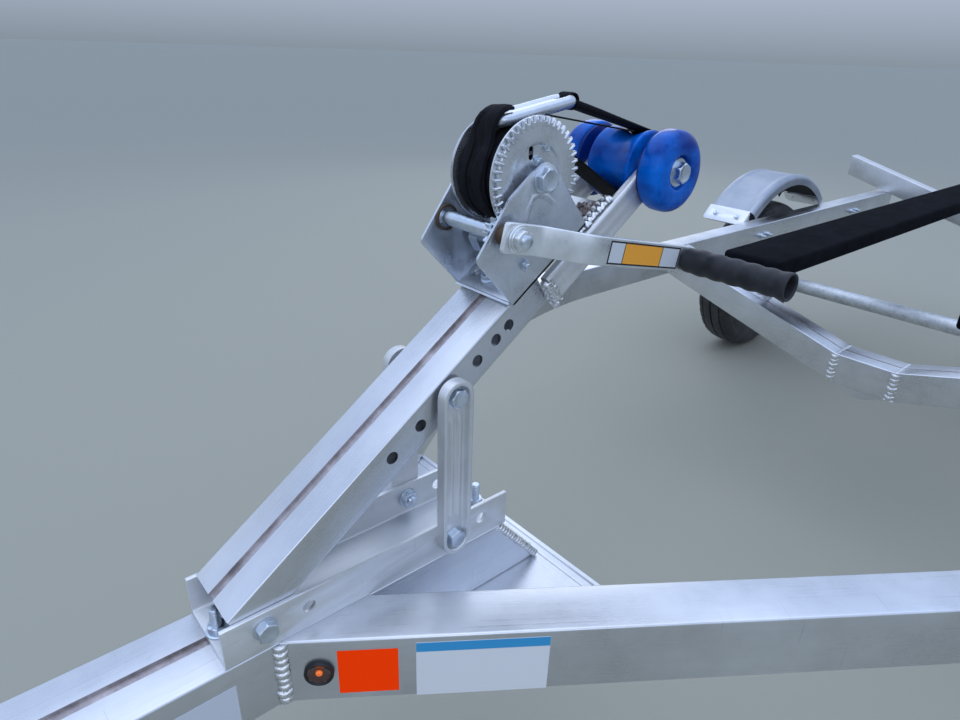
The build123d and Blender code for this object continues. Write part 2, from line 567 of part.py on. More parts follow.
# Post bolts: across bracket, struts and post, and two upright ones in the bracket's floor
NUT_IN = TONGUE_HALF - PLATE - 8.0
BOLTS = (
    # x, z, y of the head's inner face, y of the shank's inner end, y of an inner nut's inner face
    (BRACKET_X - 40, BOLT_Z, TONGUE_HALF, 0, None),
    (STRUT_X, STRUT_LOW, TONGUE_HALF + 4, NUT_IN - 4, NUT_IN),
    (STRUT_X, STRUT_HIGH, TONGUE_HALF + 4, 0, None),
)
with BuildPart() as post_bolts:
    for bolt_x, bolt_z, head_y, end_y, nut_y in BOLTS:
        for side in (-1, 1):
            with Locations(Location((bolt_x, side * (head_y + 4 + end_y) / 2, bolt_z), (90, 0, 0))):
                Cylinder(BOLT_R, head_y + 4 - end_y)
            with BuildSketch(Plane(origin=(bolt_x, side * head_y, bolt_z), x_dir=(1, 0, 0), z_dir=(0, side, 0))):
                RegularPolygon(11, 6)
            extrude(amount=8)
            if nut_y:
                with BuildSketch(Plane(origin=(bolt_x, side * nut_y, bolt_z), x_dir=(1, 0, 0), z_dir=(0, side, 0))):
                    RegularPolygon(11, 6)
                extrude(amount=8)
    for bolt_x in (BRACKET_X - 10, BRACKET_X - BRACKET_L + 10):
        with BuildSketch(Plane.XY.offset(TOP + PLATE)):
            with Locations((bolt_x, 0)):
                RegularPolygon(9.5, 6)
        extrude(amount=10)
        with Locations((bolt_x, 0, TOP + PLATE + 15)):
            Cylinder(5, 30)
post_bolts.part.label = "post_bolts"
export_step(post_bolts.part, "parts/post_bolts.step")


# Roller arms: two bars on an end plate that caps the post, with a slotted ear at each side
ROLLER_S = 646.0
ROLLER_N = -31.5
ARM_W = 36.0
ARM_IN = 31.5
ARM_OUT = 43.5
END_T = 8.0
EAR_OUT = 57.0
END_X = POST_FOOT_X + POST_L * POST_DX
END_Z = POST_FOOT_Z + POST_L * POST_DZ
with BuildPart() as roller_arms:
    with BuildSketch(Plane(origin=(END_X, 0, END_Z), x_dir=(0, 1, 0), z_dir=(POST_DX, 0, POST_DZ))):
        with BuildLine():
            Polyline((EAR_OUT - 4, 1), (EAR_OUT, 24), (22, 64), (-22, 64), (-EAR_OUT, 24), (4 - EAR_OUT, 1), close=True)
        make_face()
        with Locations((-46, 12), (46, 12), (-44, 27), (44, 27)):
            SlotOverall(9, 5, rotation=90, mode=Mode.SUBTRACT)
    extrude(amount=END_T)
    for side in (-1, 1):
        with BuildSketch(POST_SIDE.offset(ARM_IN if side > 0 else -ARM_OUT)):
            with Locations(((POST_L + END_T + ROLLER_S) / 2, ROLLER_N)):
                Rectangle(ROLLER_S - POST_L - END_T, ARM_W)
            with Locations((ROLLER_S, ROLLER_N)):
                Circle(ARM_W / 2)
                Circle(6.5, mode=Mode.SUBTRACT)
        extrude(amount=ARM_OUT - ARM_IN)
roller_arms.part.label = "roller_arms"
export_step(roller_arms.part, "parts/roller_arms.step")

ROLLER_X = POST_FOOT_X + ROLLER_S * POST_DX + ROLLER_N * POST_DZ
ROLLER_Z = POST_FOOT_Z + ROLLER_S * POST_DZ - ROLLER_N * POST_DX
ROLLER_AT = (ROLLER_X, 0, ROLLER_Z)
with BuildPart() as roller_bolt:
    with Locations(Location(ROLLER_AT, (90, 0, 0))):
        Cylinder(6.0, 166)
    for side in (-1, 1):
        with BuildSketch(Plane(origin=(ROLLER_X, side * 75.5, ROLLER_Z), x_dir=(1, 0, 0), z_dir=(0, side, 0))):
            RegularPolygon(11, 6)
        extrude(amount=8)
roller_bolt.part.label = "roller_bolt"
export_step(roller_bolt.part, "parts/roller_bolt.step")

with BuildPart() as bow_roller:
    with BuildSketch(Plane(origin=ROLLER_AT, x_dir=(1, 0, 0), z_dir=(0, 0, 1))):
        with BuildLine():
            Line((6.4, -30), (45, -30))
            ThreePointArc((45, -30), (34, 0), (45, 30))
            Line((45, 30), (6.4, 30))
            Line((6.4, 30), (6.4, -30))
        make_face()
        for side in (-1, 1):
            with BuildLine():
                Line((6.4, side * 45), (44, side * 45))
                ThreePointArc((44, side * 45), (50, side * 52), (48, side * 64))
                ThreePointArc((48, side * 64), (42, side * 73), (32, side * 75))
                Line((32, side * 75), (6.4, side * 75))
                Line((6.4, side * 75), (6.4, side * 45))
            make_face()
    revolve(axis=Axis(origin=ROLLER_AT, direction=(0, 1, 0)))
bow_roller.part.label = "bow_roller"
export_step(bow_roller.part, "parts/bow_roller.step")


# Winch: side plates and base on the post's front face
DRUM_S = 494.0
DRUM_N = 83.0
CRANK_S = 425.0
CRANK_N = 74.5
PLATE_OUT = 46.0
WINCH_T = 3.0
with BuildPart() as winch_frame:
    with BuildSketch(POST_SIDE):
        with BuildLine():
            Polyline((397, 0.0), (386, 75), (451, 97), (482, 98), (506, 96), (512, 84), (520, 0.0), close=True)
        make_face()
    extrude(amount=PLATE_OUT, both=True)
    with BuildSketch(POST_SIDE):
        with BuildLine():
            Polyline((380, WINCH_T), (380, 120), (540, 120), (540, WINCH_T), close=True)
        make_face()
    extrude(amount=PLATE_OUT - WINCH_T, both=True, mode=Mode.SUBTRACT)
    with BuildSketch(POST_SIDE):
        with Locations((CRANK_S, CRANK_N)):
            Circle(8.3)
    extrude(amount=60, both=True, mode=Mode.SUBTRACT)
    # the drum's fixed shaft with a nut at each end
    with BuildSketch(POST_SIDE):
        with Locations((DRUM_S, DRUM_N)):
            Circle(6.5)
    extrude(amount=PLATE_OUT, both=True)
    for nut_y in (-PLATE_OUT - 9, PLATE_OUT):
        with BuildSketch(POST_SIDE.offset(nut_y)):
            with Locations((DRUM_S, DRUM_N)):
                RegularPolygon(11, 6)
        extrude(amount=9)
winch_frame.part.label = "winch_frame"
export_step(winch_frame.part, "parts/winch_frame.step")

GEAR_R = 58.0
GEAR_ROOT = 53.0
GEAR_TEETH = 44
PINION_TEETH = 11
PINION_TIP = 15.9
PINION_ROOT = 10.6
# angle of the line from the drum to the crank, and the gear turned so that a gap lies on it
MESH_DEG = degrees(atan2(CRANK_N - DRUM_N, CRANK_S - DRUM_S))
GEAR_START = MESH_DEG + 180.0 / GEAR_TEETH
with BuildPart() as winch_drum:
    with BuildSketch(POST_SIDE.offset(-35)):
        with Locations((DRUM_S, DRUM_N)):
            Circle(53)
            Circle(6.8, mode=Mode.SUBTRACT)
    extrude(amount=3)
    with BuildSketch(POST_SIDE.offset(-32)):
        with Locations((DRUM_S, DRUM_N)):
            Circle(24)
            Circle(6.8, mode=Mode.SUBTRACT)
    extrude(amount=66)
    with BuildSketch(POST_SIDE.offset(34)):
        with Locations((DRUM_S, DRUM_N)):
            Circle(GEAR_ROOT)
            Circle(6.8, mode=Mode.SUBTRACT)
            with PolarLocations((GEAR_R + GEAR_ROOT - 5) / 2, GEAR_TEETH, start_angle=GEAR_START):
                Rectangle(GEAR_R - GEAR_ROOT + 5, 4)
    extrude(amount=4)
winch_drum.part.label = "winch_drum"
export_step(winch_drum.part, "parts/winch_drum.step")

WRAP_R = 46.0
with BuildPart() as winch_strap:
    with BuildSketch(POST_SIDE.offset(-28)):
        with Locations((DRUM_S, DRUM_N)):
            Circle(WRAP_R)
            Circle(24.0, mode=Mode.SUBTRACT)
    extrude(amount=50)
winch_strap.part.label = "winch_strap"
export_step(winch_strap.part, "parts/winch_strap.step")

# Strap run: off the drum's top, under and round the bow roller, back over it to the hook's eye
DRUM_X = POST_FOOT_X + DRUM_S * POST_DX + DRUM_N * POST_DZ
DRUM_Z = POST_FOOT_Z + DRUM_S * POST_DZ - DRUM_N * POST_DX
RUN_HALF = 20.0
RUN_T = 2.6
RUN_ON_DRUM = WRAP_R + 0.4
RUN_ON_ROLLER = 39.6
HOOK_RISE = 9.6
HOOK_X = DRUM_X - 24.0
HOOK_Z = DRUM_Z + 58.6
HOOK_L = 112.0
EYE_X = HOOK_X - (HOOK_L / 2 - 5.5) * cos(radians(HOOK_RISE))
EYE_UP = HOOK_Z + (HOOK_L / 2 - 5.5) * sin(radians(HOOK_RISE))
SPAN = ((DRUM_X - ROLLER_X) ** 2 + (DRUM_Z - ROLLER_Z) ** 2) ** 0.5
TILT = atan2(DRUM_Z - ROLLER_Z, DRUM_X - ROLLER_X)
CROSS = asin((RUN_ON_DRUM + RUN_ON_ROLLER + RUN_T) / SPAN) + TILT
LOW_DX = -sin(CROSS)
LOW_DZ = cos(CROSS)
REACH = ((EYE_X - ROLLER_X) ** 2 + (EYE_UP - ROLLER_Z) ** 2) ** 0.5
LEAVE = atan2(EYE_UP - ROLLER_Z, EYE_X - ROLLER_X) + acos((RUN_ON_ROLLER + RUN_T / 2) / REACH)
with BuildPart() as strap_run:
    with BuildSketch(Plane(origin=ROLLER_AT, x_dir=(1, 0, 0), z_dir=(0, -1, 0))):
        Circle(RUN_ON_ROLLER + RUN_T)
        Circle(RUN_ON_ROLLER, mode=Mode.SUBTRACT)
        with BuildLine():
            Polyline((0, 0), (-90 * LOW_DX, -90 * LOW_DZ), (200, 0), (200 * cos(LEAVE - 0.5), 200 * sin(LEAVE - 0.5)), (120 * cos(LEAVE), 120 * sin(LEAVE)), close=True)
        make_face(mode=Mode.SUBTRACT)
        with BuildLine():
            Polyline(
                (DRUM_X - ROLLER_X + RUN_ON_DRUM * LOW_DX, DRUM_Z - ROLLER_Z + RUN_ON_DRUM * LOW_DZ),
                (DRUM_X - ROLLER_X + (RUN_ON_DRUM + RUN_T) * LOW_DX, DRUM_Z - ROLLER_Z + (RUN_ON_DRUM + RUN_T) * LOW_DZ),
                (-RUN_ON_ROLLER * LOW_DX, -RUN_ON_ROLLER * LOW_DZ),
                (-(RUN_ON_ROLLER + RUN_T) * LOW_DX, -(RUN_ON_ROLLER + RUN_T) * LOW_DZ),
                close=True,
            )
        make_face()
        with BuildLine():
            Polyline(
                (RUN_ON_ROLLER * cos(LEAVE), RUN_ON_ROLLER * sin(LEAVE)),
                ((RUN_ON_ROLLER + RUN_T) * cos(LEAVE), (RUN_ON_ROLLER + RUN_T) * sin(LEAVE)),
                (EYE_X - ROLLER_X + RUN_T / 2 * cos(LEAVE) - 7, EYE_UP - ROLLER_Z + RUN_T / 2 * sin(LEAVE) - 2),
                (EYE_X - ROLLER_X - RUN_T / 2 * cos(LEAVE) - 7, EYE_UP - ROLLER_Z - RUN_T / 2 * sin(LEAVE) - 2),
                close=True,
            )
        make_face()
    extrude(amount=RUN_HALF, both=True)
strap_run.part.label = "strap_run"
export_step(strap_run.part, "parts/strap_run.step")

# Hook: a long snap hook laid flat on the wound strap
with BuildPart() as strap_hook:
    HOOK_UP = (sin(radians(HOOK_RISE)), 0, cos(radians(HOOK_RISE)))
    with BuildSketch(Plane(origin=(HOOK_X, 0, HOOK_Z), x_dir=(cos(radians(HOOK_RISE)), 0, -sin(radians(HOOK_RISE))), z_dir=HOOK_UP)):
        SlotOverall(HOOK_L, 32)
        SlotOverall(HOOK_L - 22, 10, mode=Mode.SUBTRACT)
    extrude(amount=5.5, both=True)
strap_hook.part.label = "strap_hook"
export_step(strap_hook.part, "parts/strap_hook.step")

# Crank shaft with its pinion, the flat crank arm and the grip
with BuildPart() as crank_shaft:
    with BuildSketch(POST_SIDE.offset(-PLATE_OUT - 4)):
        with Locations((CRANK_S, CRANK_N)):
            Circle(8.0)
    extrude(amount=2 * PLATE_OUT + 36)
    with BuildSketch(POST_SIDE.offset(30)):
        with Locations((CRANK_S, CRANK_N)):
            Circle(PINION_ROOT)
            with PolarLocations((PINION_TIP + 5) / 2, PINION_TEETH, start_angle=MESH_DEG + 180.0):
                Rectangle(PINION_TIP - 5, 2.2)
    extrude(amount=12)
crank_shaft.part.label = "crank_shaft"
export_step(crank_shaft.part, "parts/crank_shaft.step")

SHAFT_X = POST_FOOT_X + CRANK_S * POST_DX + CRANK_N * POST_DZ
SHAFT_Z = POST_FOOT_Z + CRANK_S * POST_DZ - CRANK_N * POST_DX
GRIP_X = BRACKET_X - 555.0
GRIP_Z = TOP + 302.0
ARM_LEN = ((GRIP_X - SHAFT_X) ** 2 + (GRIP_Z - SHAFT_Z) ** 2) ** 0.5
CRANK_ALONG = Vector(GRIP_X - SHAFT_X, 0, GRIP_Z - SHAFT_Z).normalized()
with BuildPart() as winch_crank:
    with BuildSketch(Plane(origin=(SHAFT_X, 0, SHAFT_Z), x_dir=CRANK_ALONG, z_dir=CRANK_ALONG.cross(Vector(0, 1, 0)))):
        with BuildLine():
            Polyline((-16, 62), (36, 62), (80, 89), (ARM_LEN + 16, 89), (ARM_LEN + 16, 95), (78, 95), (34, 68), (-16, 68), close=True)
        make_face()
    extrude(amount=15, both=True)
    with Locations(Location((SHAFT_X, 65, SHAFT_Z), (90, 0, 0))):
        Cylinder(8.0, 20, mode=Mode.SUBTRACT)
    with Locations(Location((GRIP_X, 156, GRIP_Z), (90, 0, 0))):
        Cylinder(6.0, 132)
winch_crank.part.label = "winch_crank"
export_step(winch_crank.part, "parts/winch_crank.step")

with BuildPart() as crank_grip:
    with Locations(Location((GRIP_X, 158.6, GRIP_Z), (90, 0, 0))):
        Cylinder(15.5, 126.6)
        Cylinder(6.3, 140, mode=Mode.SUBTRACT)
crank_grip.part.label = "crank_grip"
export_step(crank_grip.part, "parts/crank_grip.step")


# Coupler: channel over the tongue's front end, narrowing to the ball socket
BALL_R = 25.4
SOCKET_R = BALL_R + 0.3
BALL_X = NOSE_X - 40.0
with BuildPart() as coupler:
    with BuildSketch(Plane.XY.offset(TOP - 52)):
        with BuildLine():
            Polyline((TONGUE_FRONT_X - 120, 49), (TONGUE_FRONT_X + 20, 49), (BALL_X - 10, 36), (BALL_X + 20, 33), (NOSE_X, 20), (NOSE_X, -20), (BALL_X + 20, -33), (BALL_X - 10, -36), (TONGUE_FRONT_X + 20, -49), (TONGUE_FRONT_X - 120, -49), close=True)
        make_face()
    extrude(amount=56)
    with Locations((TONGUE_FRONT_X - 55, 0, TOP - 52)):
        Box(140, 89, 104, mode=Mode.SUBTRACT)
    with BuildSketch(Plane.XY.offset(TOP - 52)):
        with BuildLine():
            Polyline((TONGUE_FRONT_X + 10, 44.5), (TONGUE_FRONT_X + 20, 44.5), (BALL_X - 30, 34), (BALL_X - 30, -34), (TONGUE_FRONT_X + 20, -44.5), (TONGUE_FRONT_X + 10, -44.5), close=True)
        make_face()
    extrude(amount=52, mode=Mode.SUBTRACT)
    with Locations((BALL_X, 0, TOP - 52 + 20)):
        Cylinder(SOCKET_R, 42, mode=Mode.SUBTRACT)
coupler.part.label = "coupler"
export_step(coupler.part, "parts/coupler.step")

with BuildPart() as coupler_latch:
    with BuildSketch(Plane.XZ):
        with BuildLine():
            Polyline((BALL_X - 60, TOP + 4.3), (BALL_X - 10, TOP + 4.3), (BALL_X - 16, TOP + 30), (BALL_X - 110, TOP + 46), (BALL_X - 112, TOP + 38), (BALL_X - 50, TOP + 24), close=True)
        make_face()
    extrude(amount=13, both=True)
coupler_latch.part.label = "coupler_latch"
export_step(coupler_latch.part, "parts/coupler_latch.step")


# Jack: side plate on the tongue, swivelling outer tube, sliding leg, caster and crank
JACK_X = BRACKET_X + 520.0
JACK_Y = TONGUE_HALF + 80.0
PIVOT_Z = TOP - 40.0
JACK_WHEEL_R = 70.0
STUB_END = JACK_Y - 34.5
with BuildPart() as jack_mount:
    for plate_y, t in ((TONGUE_HALF + 3, 6), (-TONGUE_HALF - 3, 6)):
        with Locations((JACK_X, plate_y, PIVOT_Z)):
            Box(90, t, 104)
    for dx in (-33, 33):
        for dz in (-46, 46):
            with Locations(Location((JACK_X + dx, 0, PIVOT_Z + dz), (90, 0, 0))):
                Cylinder(5, 2 * TONGUE_HALF + 26)
    with Locations(Location((JACK_X, (TONGUE_HALF + 6 + STUB_END) / 2, PIVOT_Z), (90, 0, 0))):
        Cylinder(20, STUB_END - TONGUE_HALF - 6)
jack_mount.part.label = "jack_mount"
export_step(jack_mount.part, "parts/jack_mount.step")

JACK_TUBE_R = 25.5
JACK_LEG_R = 22.0
with BuildPart() as jack_tube:
    with Locations((JACK_X, JACK_Y, PIVOT_Z + 60)):
        Cylinder(JACK_TUBE_R, 400)
        Cylinder(JACK_LEG_R + 0.6, 402, mode=Mode.SUBTRACT)
    with Locations((JACK_X, JACK_Y, PIVOT_Z + 60 + 200 - 5)):
        Cylinder(JACK_TUBE_R, 10)
    with Locations(Location((JACK_X, STUB_END + 0.3 + 9, PIVOT_Z), (90, 0, 0))):
        Cylinder(28, 18)
    with Locations((JACK_X, JACK_Y, PIVOT_Z)):
        Cylinder(JACK_LEG_R + 0.6, 100, mode=Mode.SUBTRACT)
jack_tube.part.label = "jack_tube"
export_step(jack_tube.part, "parts/jack_tube.step")

LEG_LOW = 2 * JACK_WHEEL_R + 14.0
with BuildPart() as jack_leg:
    with Locations((JACK_X, JACK_Y, (LEG_LOW + PIVOT_Z + 60) / 2)):
        Cylinder(JACK_LEG_R, PIVOT_Z + 60 - LEG_LOW)
    with Locations((JACK_X, JACK_Y, (LEG_LOW + PIVOT_Z + 60) / 2 + 5)):
        Cylinder(JACK_LEG_R - 2.5, PIVOT_Z + 60 - LEG_LOW, mode=Mode.SUBTRACT)
jack_leg.part.label = "jack_leg"
export_step(jack_leg.part, "parts/jack_leg.step")

with BuildPart() as jack_caster:
    with Locations((JACK_X, JACK_Y, LEG_LOW - 3.8)):
        Box(60, 66, 7)
    for side in (-1, 1):
        with Locations((JACK_X, JACK_Y + side * 30.5, (LEG_LOW - 4 + JACK_WHEEL_R - 20) / 2)):
            Box(44, 5, LEG_LOW - 4 - JACK_WHEEL_R + 20)
    with Locations(Location((JACK_X, JACK_Y, JACK_WHEEL_R), (90, 0, 0))):
        Cylinder(6, 74)
jack_caster.part.label = "jack_caster"
export_step(jack_caster.part, "parts/jack_caster.step")

with BuildPart() as jack_wheel:
    with Locations(Location((JACK_X, JACK_Y, JACK_WHEEL_R), (90, 0, 0))):
        Cylinder(JACK_WHEEL_R, 44)
        Cylinder(6.3, 50, mode=Mode.SUBTRACT)
jack_wheel.part.label = "jack_wheel"
export_step(jack_wheel.part, "parts/jack_wheel.step")

JACK_TOP = PIVOT_Z + 260.0
with BuildPart() as jack_crank:
    with Locations((JACK_X, JACK_Y, JACK_TOP + 10.3)):
        Cylinder(10, 20)
    with Locations((JACK_X, JACK_Y + 60, JACK_TOP + 17)):
        Box(18, 140, 5)
    with Locations((JACK_X, JACK_Y + 122, JACK_TOP + 50)):
        Cylinder(11, 62)
jack_crank.part.label = "jack_crank"
export_step(jack_crank.part, "parts/jack_crank.step")


# Lamps: side marker in each rail, tail lamps on panels at the rear ends
MARKER_BACK = 35.5
RAIL_FRONT_X = rail_outline(0, 0)[4][0]
MARKER_X = RAIL_FRONT_X - MARKER_BACK * RAIL_C
MARKER_Y = TONGUE_HALF + MARKER_BACK * RAIL_S
with BuildPart() as marker_lamps:
    for side in (-1, 1):
        with BuildSketch(Plane(origin=(MARKER_X, side * MARKER_Y, TOP - TUBE_H / 2), z_dir=(RAIL_S, side * RAIL_C, 0))):
            Circle(14.5)
        extrude(amount=5)
marker_lamps.part.label = "marker_lamps"
export_step(marker_lamps.part, "parts/marker_lamps.step")

LAMP_Y = 690.0
LAMP_Z = REAR_MID_TOP + (LAMP_Y - REAR_MID) * REAR_SLOPE - REAR_H / 2
with BuildPart() as tail_lamps:
    for side in (-1, 1):
        with Locations((REAR_X - REAR_D - 3, side * LAMP_Y, LAMP_Z)):
            Box(6, 170, 100)
        with BuildSketch(Plane(origin=(REAR_X - REAR_D - 6, side * LAMP_Y, LAMP_Z), x_dir=(0, 1, 0), z_dir=(-1, 0, 0))):
            SlotOverall(150, 54)
        extrude(amount=16)
tail_lamps.part.label = "tail_lamps"
export_step(tail_lamps.part, "parts/tail_lamps.step")
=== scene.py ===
import random
from math import acos, asin, atan2, copysign, cos, hypot, pi, radians, sin, sqrt, tan, tau

import bmesh
import bpy
from mathutils import Matrix, Vector, noise


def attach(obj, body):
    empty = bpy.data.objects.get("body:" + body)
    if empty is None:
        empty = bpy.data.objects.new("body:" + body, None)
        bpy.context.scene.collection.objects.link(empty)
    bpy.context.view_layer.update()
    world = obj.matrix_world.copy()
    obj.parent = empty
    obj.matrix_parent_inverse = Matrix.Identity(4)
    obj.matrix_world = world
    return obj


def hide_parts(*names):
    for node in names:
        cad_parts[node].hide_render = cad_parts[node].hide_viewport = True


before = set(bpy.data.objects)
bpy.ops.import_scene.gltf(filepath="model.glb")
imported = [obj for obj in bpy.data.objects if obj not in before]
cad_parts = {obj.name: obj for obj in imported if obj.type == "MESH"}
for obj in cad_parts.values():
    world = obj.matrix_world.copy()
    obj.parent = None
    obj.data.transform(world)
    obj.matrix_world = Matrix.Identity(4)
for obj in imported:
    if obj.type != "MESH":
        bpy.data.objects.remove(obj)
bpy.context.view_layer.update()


# Tongue and rails: box tubes of extruded aluminium with a mill finish, 80 mm high, walls 4 mm. The tongue
# is 89 mm wide with a groove along its top and a slanted rear end. The 59 mm rails are mitred to its sides,
# run out at 35 degrees, bend once at 1 m radius and go straight to the rear, where they are open.
BX, TOP = 1.221, 0.549
BOX_H, HALF_W, RAIL_Y = 0.08, 0.0445, 0.592
UNDER, MID_Z = TOP - BOX_H, TOP - BOX_H / 2


def material(name, color, rough, metal=0.0, **sockets):
    """A new principled material with constant sockets, and its node tree's tools."""
    mat = bpy.data.materials.new(name)
    mat.use_nodes = True
    nt = mat.node_tree
    bsdf = nt.nodes["Principled BSDF"]
    bsdf.inputs["Base Color"].default_value = (*color, 1)
    bsdf.inputs["Roughness"].default_value = rough
    bsdf.inputs["Metallic"].default_value = metal
    for key, value in sockets.items():
        bsdf.inputs[key.replace("_", " ")].default_value = value
    return mat, nt, bsdf


def grain(nt, scale, detail=3.0, rough=0.55, turn=0.0, kind="noise", coords="Object"):
    """A noise pattern over Object or UV coordinates, stretched by scale; returns its value's socket."""
    tc = nt.nodes.new("ShaderNodeTexCoord")
    mp = nt.nodes.new("ShaderNodeMapping")
    mp.inputs["Scale"].default_value = scale if isinstance(scale, tuple) else (scale, scale, scale)
    mp.inputs["Rotation"].default_value = (0, 0, turn)
    nt.links.new(tc.outputs[coords], mp.inputs["Vector"])
    if kind == "noise":
        tx = nt.nodes.new("ShaderNodeTexNoise")
        tx.inputs["Scale"].default_value = 1.0
        tx.inputs["Detail"].default_value = detail
        tx.inputs["Roughness"].default_value = rough
        nt.links.new(mp.outputs["Vector"], tx.inputs["Vector"])
        return tx.outputs["Fac"]
    tx = nt.nodes.new("ShaderNodeTexVoronoi")
    tx.inputs["Scale"].default_value = 1.0
    nt.links.new(mp.outputs["Vector"], tx.inputs["Vector"])
    return tx.outputs["Distance" if kind == "cells" else "Color"]


def ramp(value, low, high, out_low=0.0, out_high=1.0):
    """value mapped from low..high to out_low..out_high, clamped."""
    nt = value.id_data
    mr = nt.nodes.new("ShaderNodeMapRange")
    mr.inputs["From Min"].default_value = low
    mr.inputs["From Max"].default_value = high
    mr.inputs["To Min"].default_value = out_low
    mr.inputs["To Max"].default_value = out_high
    nt.links.new(value, mr.inputs["Value"])
    return mr.outputs["Result"]


def tint(factor, a, b):
    """Colour mix; a and b are colours or sockets."""
    nt = factor.id_data
    mx = nt.nodes.new("ShaderNodeMix")
    mx.data_type = "RGBA"
    nt.links.new(factor, mx.inputs["Factor"])
    for key, c in (("A", a), ("B", b)):
        if isinstance(c, tuple):
            mx.inputs[key].default_value = (*c, 1)
        else:
            nt.links.new(c, mx.inputs[key])
    return mx.outputs["Result"]


def sums(op, a, b):
    """Arithmetic on a socket and a second socket or a number."""
    nt = a.id_data
    m = nt.nodes.new("ShaderNodeMath")
    m.operation = op
    for i, v in enumerate((a, b)):
        if isinstance(v, (int, float)):
            m.inputs[i].default_value = v
        else:
            nt.links.new(v, m.inputs[i])
    return m.outputs[0]


def bump(bsdf, height, distance, strength=1.0):
    """Adds a bump to the shader, on top of any that is there."""
    nt = height.id_data
    bp = nt.nodes.new("ShaderNodeBump")
    bp.inputs["Distance"].default_value = distance
    bp.inputs["Strength"].default_value = strength
    nt.links.new(height, bp.inputs["Height"])
    old = bsdf.inputs["Normal"].links
    if old:
        nt.links.new(old[0].from_socket, bp.inputs["Normal"])
    nt.links.new(bp.outputs["Normal"], bsdf.inputs["Normal"])


def feed(bsdf, name, value):
    """Links value to the shader's socket of that name."""
    value.id_data.links.new(value, bsdf.inputs[name])


def heat_and_light_value(nt):
    """The value painted on the mesh's points: heat near welds, painted shade in weld creases, a painted
    highlight on the crank bar.
    """
    at = nt.nodes.new("ShaderNodeAttribute")
    at.attribute_name = "heat"
    return at.outputs["Fac"]


def aluminium(name, color, rough, streaks=1.0):
    """Mill finish: lines along the UV, cloudy patches, scratches, brown haze where heat is painted."""
    mat, nt, bsdf = material(name, color, rough, 1.0, Anisotropic=0.35)
    lines = grain(nt, (2.5, 900, 1), 2, coords="UV")
    broad = grain(nt, (1.2, 90, 1), 3, coords="UV")
    cloud = grain(nt, 7, 6, 0.6)
    spots = grain(nt, 60, 5, 0.7)
    dark = tuple(c * 0.8 for c in color)
    light = tuple(min(1.0, c * 1.07) for c in color)
    base = tint(ramp(cloud, 0.32, 0.72), dark, light)
    base = tint(ramp(broad, 0.45, 0.75, 0.0, 0.35 * streaks), base, tuple(c * 0.86 for c in color))
    scratch = grain(nt, (9, 420, 1), 1, 0.5, 0.35, coords="UV")
    scratch2 = grain(nt, (420, 12, 1), 1, 0.5, 0.2, coords="UV")
    nicks = sums("MAXIMUM", ramp(scratch, 0.7, 0.74), ramp(scratch2, 0.73, 0.76))
    base = tint(sums("MULTIPLY", nicks, 0.35), base, tuple(c * 0.6 for c in color))
    haze = heat_and_light_value(nt)
    soot = ramp(sums("ADD", haze, sums("MULTIPLY", spots, 0.5)), 0.55, 1.2)
    base = tint(sums("MULTIPLY", soot, 0.75), base, (0.3, 0.24, 0.2))
    feed(bsdf, "Base Color", base)
    r = sums("ADD", ramp(lines, 0.25, 0.75, rough - 0.07 * streaks, rough + 0.09 * streaks),
             ramp(cloud, 0.35, 0.75, -0.03, 0.1))
    r = sums("ADD", r, sums("MULTIPLY", soot, 0.25))
    feed(bsdf, "Roughness", r)
    bump(bsdf, lines, 0.0001 * streaks, 0.6)
    bump(bsdf, cloud, 0.0012, 0.25)
    bump(bsdf, spots, 0.00012, 0.5)
    return mat


MILL = aluminium("mill_aluminium", (0.735, 0.755, 0.79), 0.3)
FLATBAR = aluminium("flat_bar", (0.8, 0.81, 0.82), 0.42)
FLATBAR.node_tree.nodes["Principled BSDF"].inputs["Metallic"].default_value = 0.72
# Painted shade in the grooves: a darker, mottled aluminium that stands for the shade lying in them.
GROOVE_SHADE, nt, bsdf = material("groove_painted_shade", (0.3, 0.26, 0.27), 0.5, 0.7)
feed(bsdf, "Base Color", tint(ramp(grain(nt, 40, 5, 0.7), 0.35, 0.7), (0.34, 0.3, 0.305),
                              (0.66, 0.62, 0.63)))


def shade_groove(bm, first, count, width):
    """Gives material 1, the groove's painted shade, to a tube's groove: count faces from first on, of width
    faces per ring.
    """
    bm.faces.ensure_lookup_table()
    for i, f in enumerate(bm.faces):
        if first <= i % width < first + count and len(f.verts) == 4:
            f.material_index = 1


def finished(name, bm, mat, body="trailer", gone=None, angle=32.0):
    """The bmesh as a piece: sharp edges by angle, materials, body and the CAD node it replaces."""
    bmesh.ops.recalc_face_normals(bm, faces=bm.faces)
    me = bpy.data.meshes.new(name)
    bm.to_mesh(me)
    bm.free()
    for m in (mat if isinstance(mat, (list, tuple)) else [mat]):
        me.materials.append(m)
    me.polygons.foreach_set("use_smooth", [True] * len(me.polygons))
    me.set_sharp_from_angle(angle=radians(angle))
    ob = bpy.data.objects.new(name, me)
    bpy.context.scene.collection.objects.link(ob)
    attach(ob, body)
    if gone:
        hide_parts(gone)
    return ob


def ring_box(w, h, r, groove=0.0, half=0.004, n=4):
    """Rounded rectangle as (across, up) points, with a groove along its top that may be 0 deep."""
    pts = []
    for k, (cx, cy) in enumerate(((1, -1), (1, 1), (-1, 1), (-1, -1))):
        if k == 2:
            pts += [(half, h / 2), (half, h / 2 - groove), (-half, h / 2 - groove), (-half, h / 2)]
        for i in range(n + 1):
            a = radians(-90 + 90 * k + 90 * i / n)
            pts.append((cx * (w / 2 - r) + r * cos(a), cy * (h / 2 - r) + r * sin(a)))
    return pts


